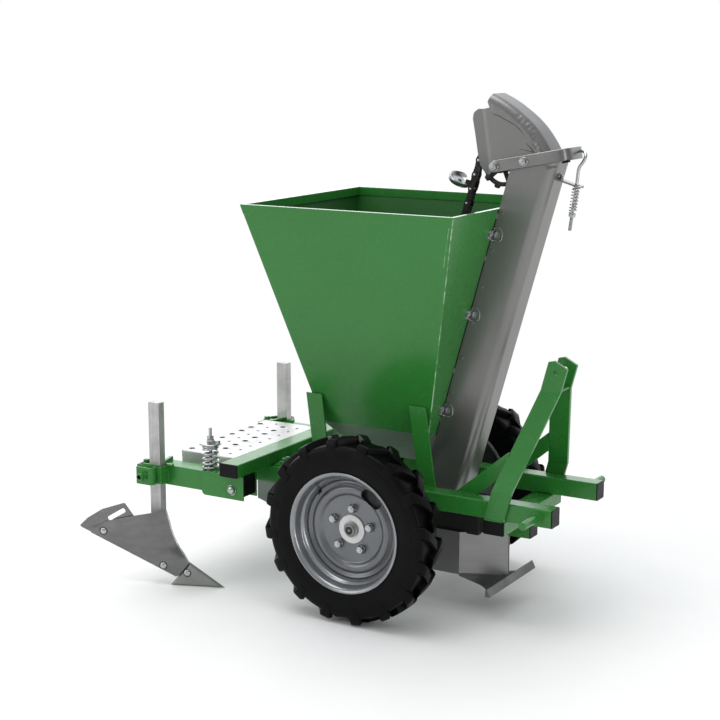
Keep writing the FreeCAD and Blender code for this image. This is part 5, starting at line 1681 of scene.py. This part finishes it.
def wheel():
    """The pressed rim with its dished disc, wheel bolts, and the hub. Local Z is outward (the near face)."""
    P = Part("rim_part", RIM)
    Z = AX_NY
    barrel = [(168, 49), (167.2, 49.8), (164, 49.6), (160.5, 47.6), (157, 44.6), (154.4, 40), (152.6, 33),
              (151, 24), (148.6, 20.6), (145, 18.4), (142.4, 13.5), (139.6, 8), (138.0, 4), (138.0, -10),
              (142, -15), (148.5, -20), (151, -26), (153.5, -40), (157, -45), (164, -49.6), (167.2, -49.8),
              (168, -49), (168, -46), (160, -45.6), (155.6, -42), (153, -27), (150.2, -18.4), (143.5, -13.2),
              (139.6, -8), (139.6, 2), (141.4, 7), (144, 12.4), (147, 17), (150.5, 19.2), (153, 23),
              (154.6, 33), (156.6, 40.4), (160, 44.8), (164, 46), (168, 46)]
    # the barrel takes the lighter copy of the silver: painted light
    P.use(RIM_BARREL_LIT)
    P.lathe(barrel, 144, Z, True)
    P.use(RIM)
    disc = [(138.4, 2.6), (136.6, 5.6), (133.4, 6.8), (130.6, 5.6), (127.5, 2.4), (124.5, 1.2), (121.5, 2.6),
            (118, 6.2), (114, 7.8), (108, 7.6), (102, 5.8), (98, 2.2), (95.4, -1.4), (92, -3.0), (86, -3.4),
            (60, -3.4), (30, -3.4),
            (16, -3.4), (16, -7.4), (86, -7.4), (92.5, -6.6), (97, -4.4), (101, -1.2), (105.5, 1.4), (110, 2.6),
            (114.5, 2.6), (120, 1.0), (125.5, -0.2), (130, 0.8), (133.6, 1.8), (137, 0.2)]
    tmp = Part("tmp", RIM)
    tmp.lathe(disc, 144, None, True)
    cut = Part("tmp2", RIM)
    e = math.atan2(94.5, 64)
    hh = Matrix.Translation((114 * math.cos(e), 114 * math.sin(e), 0)) @ Matrix.Rotation(e + math.pi / 2, 4, "Z")
    oval = []
    for i in range(40):
        a = TAU * i / 40
        oval.append((33 * math.copysign(abs(math.cos(a)) ** 0.9, math.cos(a)),
                     20.5 * math.copysign(abs(math.sin(a)) ** 0.9, math.sin(a))))
    cut.slab(oval, -30, 30, hh, 0)
    bmd = carve(tmp.bm, [cut.bm])
    P.take(bmd, Z)
    # a dark patch behind the hand hole: painted shade where the hollow is seen
    P.use(DARK_AND_PAINTED_SHADE)
    P.lathe([(84, -10.2), (113, -10.6), (137.4, -9.0), (137.4, -10.8), (113, -12.4), (84, -12.2)], 40,
            Z @ Matrix.Rotation(e - rad(30), 4, "Z"), True, 0.0, 60.0)
    # valve in the rim well
    P.use(DARK_AND_PAINTED_SHADE)
    P.rod(Z @ V(-96, 96, 2), Z @ V(-92, 92, 24), 4.2, 0.8, 16)
    # bolts on a 120 mm circle: pressed recess with a dark disc of painted shade at its floor, and hexagon heads
    for i in range(5):
        a = rad(BOLT_A0 + i * 72)
        T = Z @ Matrix.Translation((60 * math.cos(a), 60 * math.sin(a), -3.4))
        P.use(DARK_AND_PAINTED_SHADE)
        P.lathe([(0, 0.15), (13.0, 0.15), (13.0, 0.5), (12.0, 0.9), (0, 0.9)], 28, T)
        P.use(RIM)
        P.lathe([(12.6, 0), (14.6, 0), (14.4, 0.9), (13.4, 1.5), (12.4, 1.3)], 28, T)
        P.use(ZINC)
        Tb = T @ Matrix.Rotation(i * 0.7, 4, "Z")
        P.lathe([(0, 0.6), (10.6, 0.6), (10.4, 3.0), (9.4, 4.2), (0, 4.2)], 30, Tb)
        P.hexa(Tb @ Matrix.Translation((0, 0, 3.0)), 17, 13.5)
        P.lathe([(0, 0), (5.4, 0), (5.0, 1.4), (0, 1.8)], 20, Tb @ Matrix.Translation((0, 0, 16.3)))
    c = Z @ Matrix.Translation((0, 0, -3.4))
    P.use(GALV)
    P.lathe([(0, 0), (40, 0), (40.4, 1.2), (40, 3.6), (39, 4.4), (24, 4.4), (23.4, 3.8), (0, 3.8)], 64, c)
    P.use(SHEET)
    P.lathe([(0, 3.6), (20.5, 3.6), (20.8, 5.0), (20.8, 9.0), (19.6, 10.4), (16.8, 11.0), (16.4, 9.6), (15.0, 9.0), (0, 9.0)],
            48, c)
    P.thread(c @ Matrix.Translation((0, 0, 8.8)), 13.2, 9.5, 1.8)
    P.use(DARK_AND_PAINTED_SHADE)
    P.lathe([(0, 16.9), (2.4, 17.2), (3.0, 18.4), (11.2, 18.4), (11.8, 18.0), (11.8, 17.0), (0, 16.6)], 36, c)
    P.use(SHEET)
    P.lathe([(15.6, -96), (29, -96), (30, -95), (30, -13), (69, -13), (70, -12), (70, -7.5), (15.6, -7.5)], 56, Z, True)
    return P


BOLT_A0 = 13.7
HUB_OFF = 0.0


def wheels():
    for side, s in (("right", -1), ("left", 1)):
        body = "wheel_%s_body" % side
        T = tyre()
        # tread built symmetric about y = 0: shift to the wheel's mid-plane
        T.name = "tyre_%s_rubber" % side
        T.bm.transform(Matrix.Translation((0, -328, 260)))
        if s > 0:
            T.bm.transform(Matrix.Scale(-1, 4, (0, 1, 0)))
            bmesh.ops.reverse_faces(T.bm, faces=T.bm.faces)
        T.done(body, "tyre_rubber", ["tyre_" + side])
        W = wheel()
        W.name = "wheel_%s_rim" % side
        W.bm.transform(Matrix.Translation((0, -328, 260)))
        if s > 0:
            W.bm.transform(Matrix.Scale(-1, 4, (0, 1, 0)))
            bmesh.ops.reverse_faces(W.bm, faces=W.bm.faces)
        W.done(body, "rim_silver", ["wheel_" + side])


# ------------------------------------------------------------------ build
beams()
headstock()
hopper()
casing()
hood()
chain()
tensioner()
toggles()
opener()
plank()
saddles()
springs()
arms()
shanks()
ridgers()
axle()
wheels()

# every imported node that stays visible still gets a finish
LEFT = {"green_paint": GREEN, "black_plastic": PLASTIC, "grey_steel": SHEET, "black_steel": CHAIN, "zinc": ZINC,
        "bare_steel": BARE, "rim_silver": RIM, "tyre_rubber": RUBBER}
for n, o in NODES.items():
    if not o.hide_render:
        print("still shown:", n)
        for sl in o.material_slots:
            sl.material = SHEET

# ------------------------------------------------------------------ floor, light, camera
BEHIND, OVER, ROOM = 1.5, 0.45, 0.30
floor_mat, nt, b, tc = new_mat("studio_floor")
o = mapping(nt, tc)
f = noise_tex(nt, o, 1.3, 4, 0.55)
g = noise_tex(nt, o, 90, 3, 0.6)
col = mix_col(nt, remap(nt, f, 0.35, 0.65, 0, 1), (0.83, 0.83, 0.83), (0.87, 0.87, 0.87))
nt.links.new(col, b.inputs["Base Color"])
nt.links.new(remap(nt, g, 0.3, 0.7, 0.68, 0.8), b.inputs["Roughness"])
b.inputs["Specular IOR Level"].default_value = 0.2
glow = nt.nodes.new("ShaderNodeEmission")
glow.inputs[0].default_value = (1, 1, 1, 1)
glow.inputs[1].default_value = 1.0
ln = nt.nodes.new("ShaderNodeVectorMath")
ln.operation = "LENGTH"
nt.links.new(tc.outputs["Object"], ln.inputs[0])
mixf = nt.nodes.new("ShaderNodeMixShader")
nt.links.new(remap(nt, ln.outputs["Value"], 0.9, 2.3, 0.0, 1.0), mixf.inputs[0])
nt.links.new(b.outputs[0], mixf.inputs[1])
nt.links.new(glow.outputs[0], mixf.inputs[2])
nt.links.new(mixf.outputs[0], [n for n in nt.nodes if n.type == "OUTPUT_MATERIAL"][0].inputs[0])
fm = bpy.data.meshes.new("studio_floor")
fb = bmesh.new()
bmesh.ops.create_grid(fb, x_segments=8, y_segments=8, size=14)
fb.to_mesh(fm)
fb.free()
fm.materials.append(floor_mat)
floor = bpy.data.objects.new("studio_floor", fm)
floor.location = (0, 0, -0.0005)
scene.collection.objects.link(floor)

world = bpy.data.worlds.new("studio")
scene.world = world
world.use_nodes = True
wt = world.node_tree
wt.nodes.clear()
wo = wt.nodes.new("ShaderNodeOutputWorld")
bg = wt.nodes.new("ShaderNodeBackground")
cam_bg = wt.nodes.new("ShaderNodeBackground")
mixs = wt.nodes.new("ShaderNodeMixShader")
lp = wt.nodes.new("ShaderNodeLightPath")
tcw = wt.nodes.new("ShaderNodeTexCoord")


def wmath(op, a, b=None, clamp=False):
    return math_node(wt, op, a, b, clamp)


def toward(x, y, z):
    """How squarely a direction of the room faces this way, from -1 to 1."""
    d = wt.nodes.new("ShaderNodeVectorMath")
    d.operation = "DOT_PRODUCT"
    wt.links.new(tcw.outputs["Generated"], d.inputs[0])
    d.inputs[1].default_value = Vector((x, y, z)).normalized()
    return d.outputs["Value"]


behind = remap(wt, toward(-0.50, 0.86, 0.05), 0.15, 0.95, 0.0, 1.0)
over = remap(wt, toward(0, 0, 1), 0.0, 1.0, 0.0, 1.0)
low = remap(wt, toward(0, 0, -1), -0.05, 0.35, 0.0, 1.0)
lum = wmath("ADD", wmath("MULTIPLY", behind, BEHIND), wmath("MULTIPLY", over, OVER))
lum = wmath("ADD", lum, ROOM)
lum = wmath("ADD", wmath("MULTIPLY", low, 0.15), lum)
bg.inputs[0].default_value = (0.97, 0.985, 1.0, 1)
wt.links.new(lum, bg.inputs[1])
cam_bg.inputs[0].default_value = (1, 1, 1, 1)
cam_bg.inputs[1].default_value = 1.0
wt.links.new(lp.outputs["Is Camera Ray"], mixs.inputs[0])
wt.links.new(bg.outputs[0], mixs.inputs[1])
wt.links.new(cam_bg.outputs[0], mixs.inputs[2])
wt.links.new(mixs.outputs[0], wo.inputs[0])


def area(name, loc, target, size, power, size_y=None):
    L = bpy.data.lights.new(name, "AREA")
    L.shape = "RECTANGLE"
    L.size, L.size_y = size, size_y or size
    L.energy = power
    ob = bpy.data.objects.new(name, L)
    ob.location = loc
    ob.rotation_euler = (Vector(target) - Vector(loc)).to_track_quat("-Z", "Y").to_euler()
    scene.collection.objects.link(ob)
    return ob


area("key_soft", (-3.6, -4.2, 2.6), (0, 0, 0.6), 3.2, 70)
area("top_soft", (-0.6, -0.4, 4.4), (0, 0, 0.4), 3.0, 90)
area("right_strip", (4.6, -1.9, 0.9), (0.1, 0, 0.7), 0.7, 34, 2.6)

cam = bpy.data.cameras.new("photo_view")
cam.lens, cam.sensor_width, cam.clip_start, cam.clip_end = 80.5, 36.0, 0.05, 100
co = bpy.data.objects.new("photo_view", cam)
m = Matrix(((0.858, -0.1013, 0.5036, 2.3422), (0.5137, 0.1692, -0.8411, -3.9105), (0.0, 0.9803, 0.1973, 1.5710),
            (0, 0, 0, 1)))
co.matrix_world = m
scene.collection.objects.link(co)
scene.camera = co
scene.view_settings.view_transform = "Standard"
scene.view_settings.look = "None"
scene.view_settings.exposure = 0.0

bpy.context.view_layer.update()
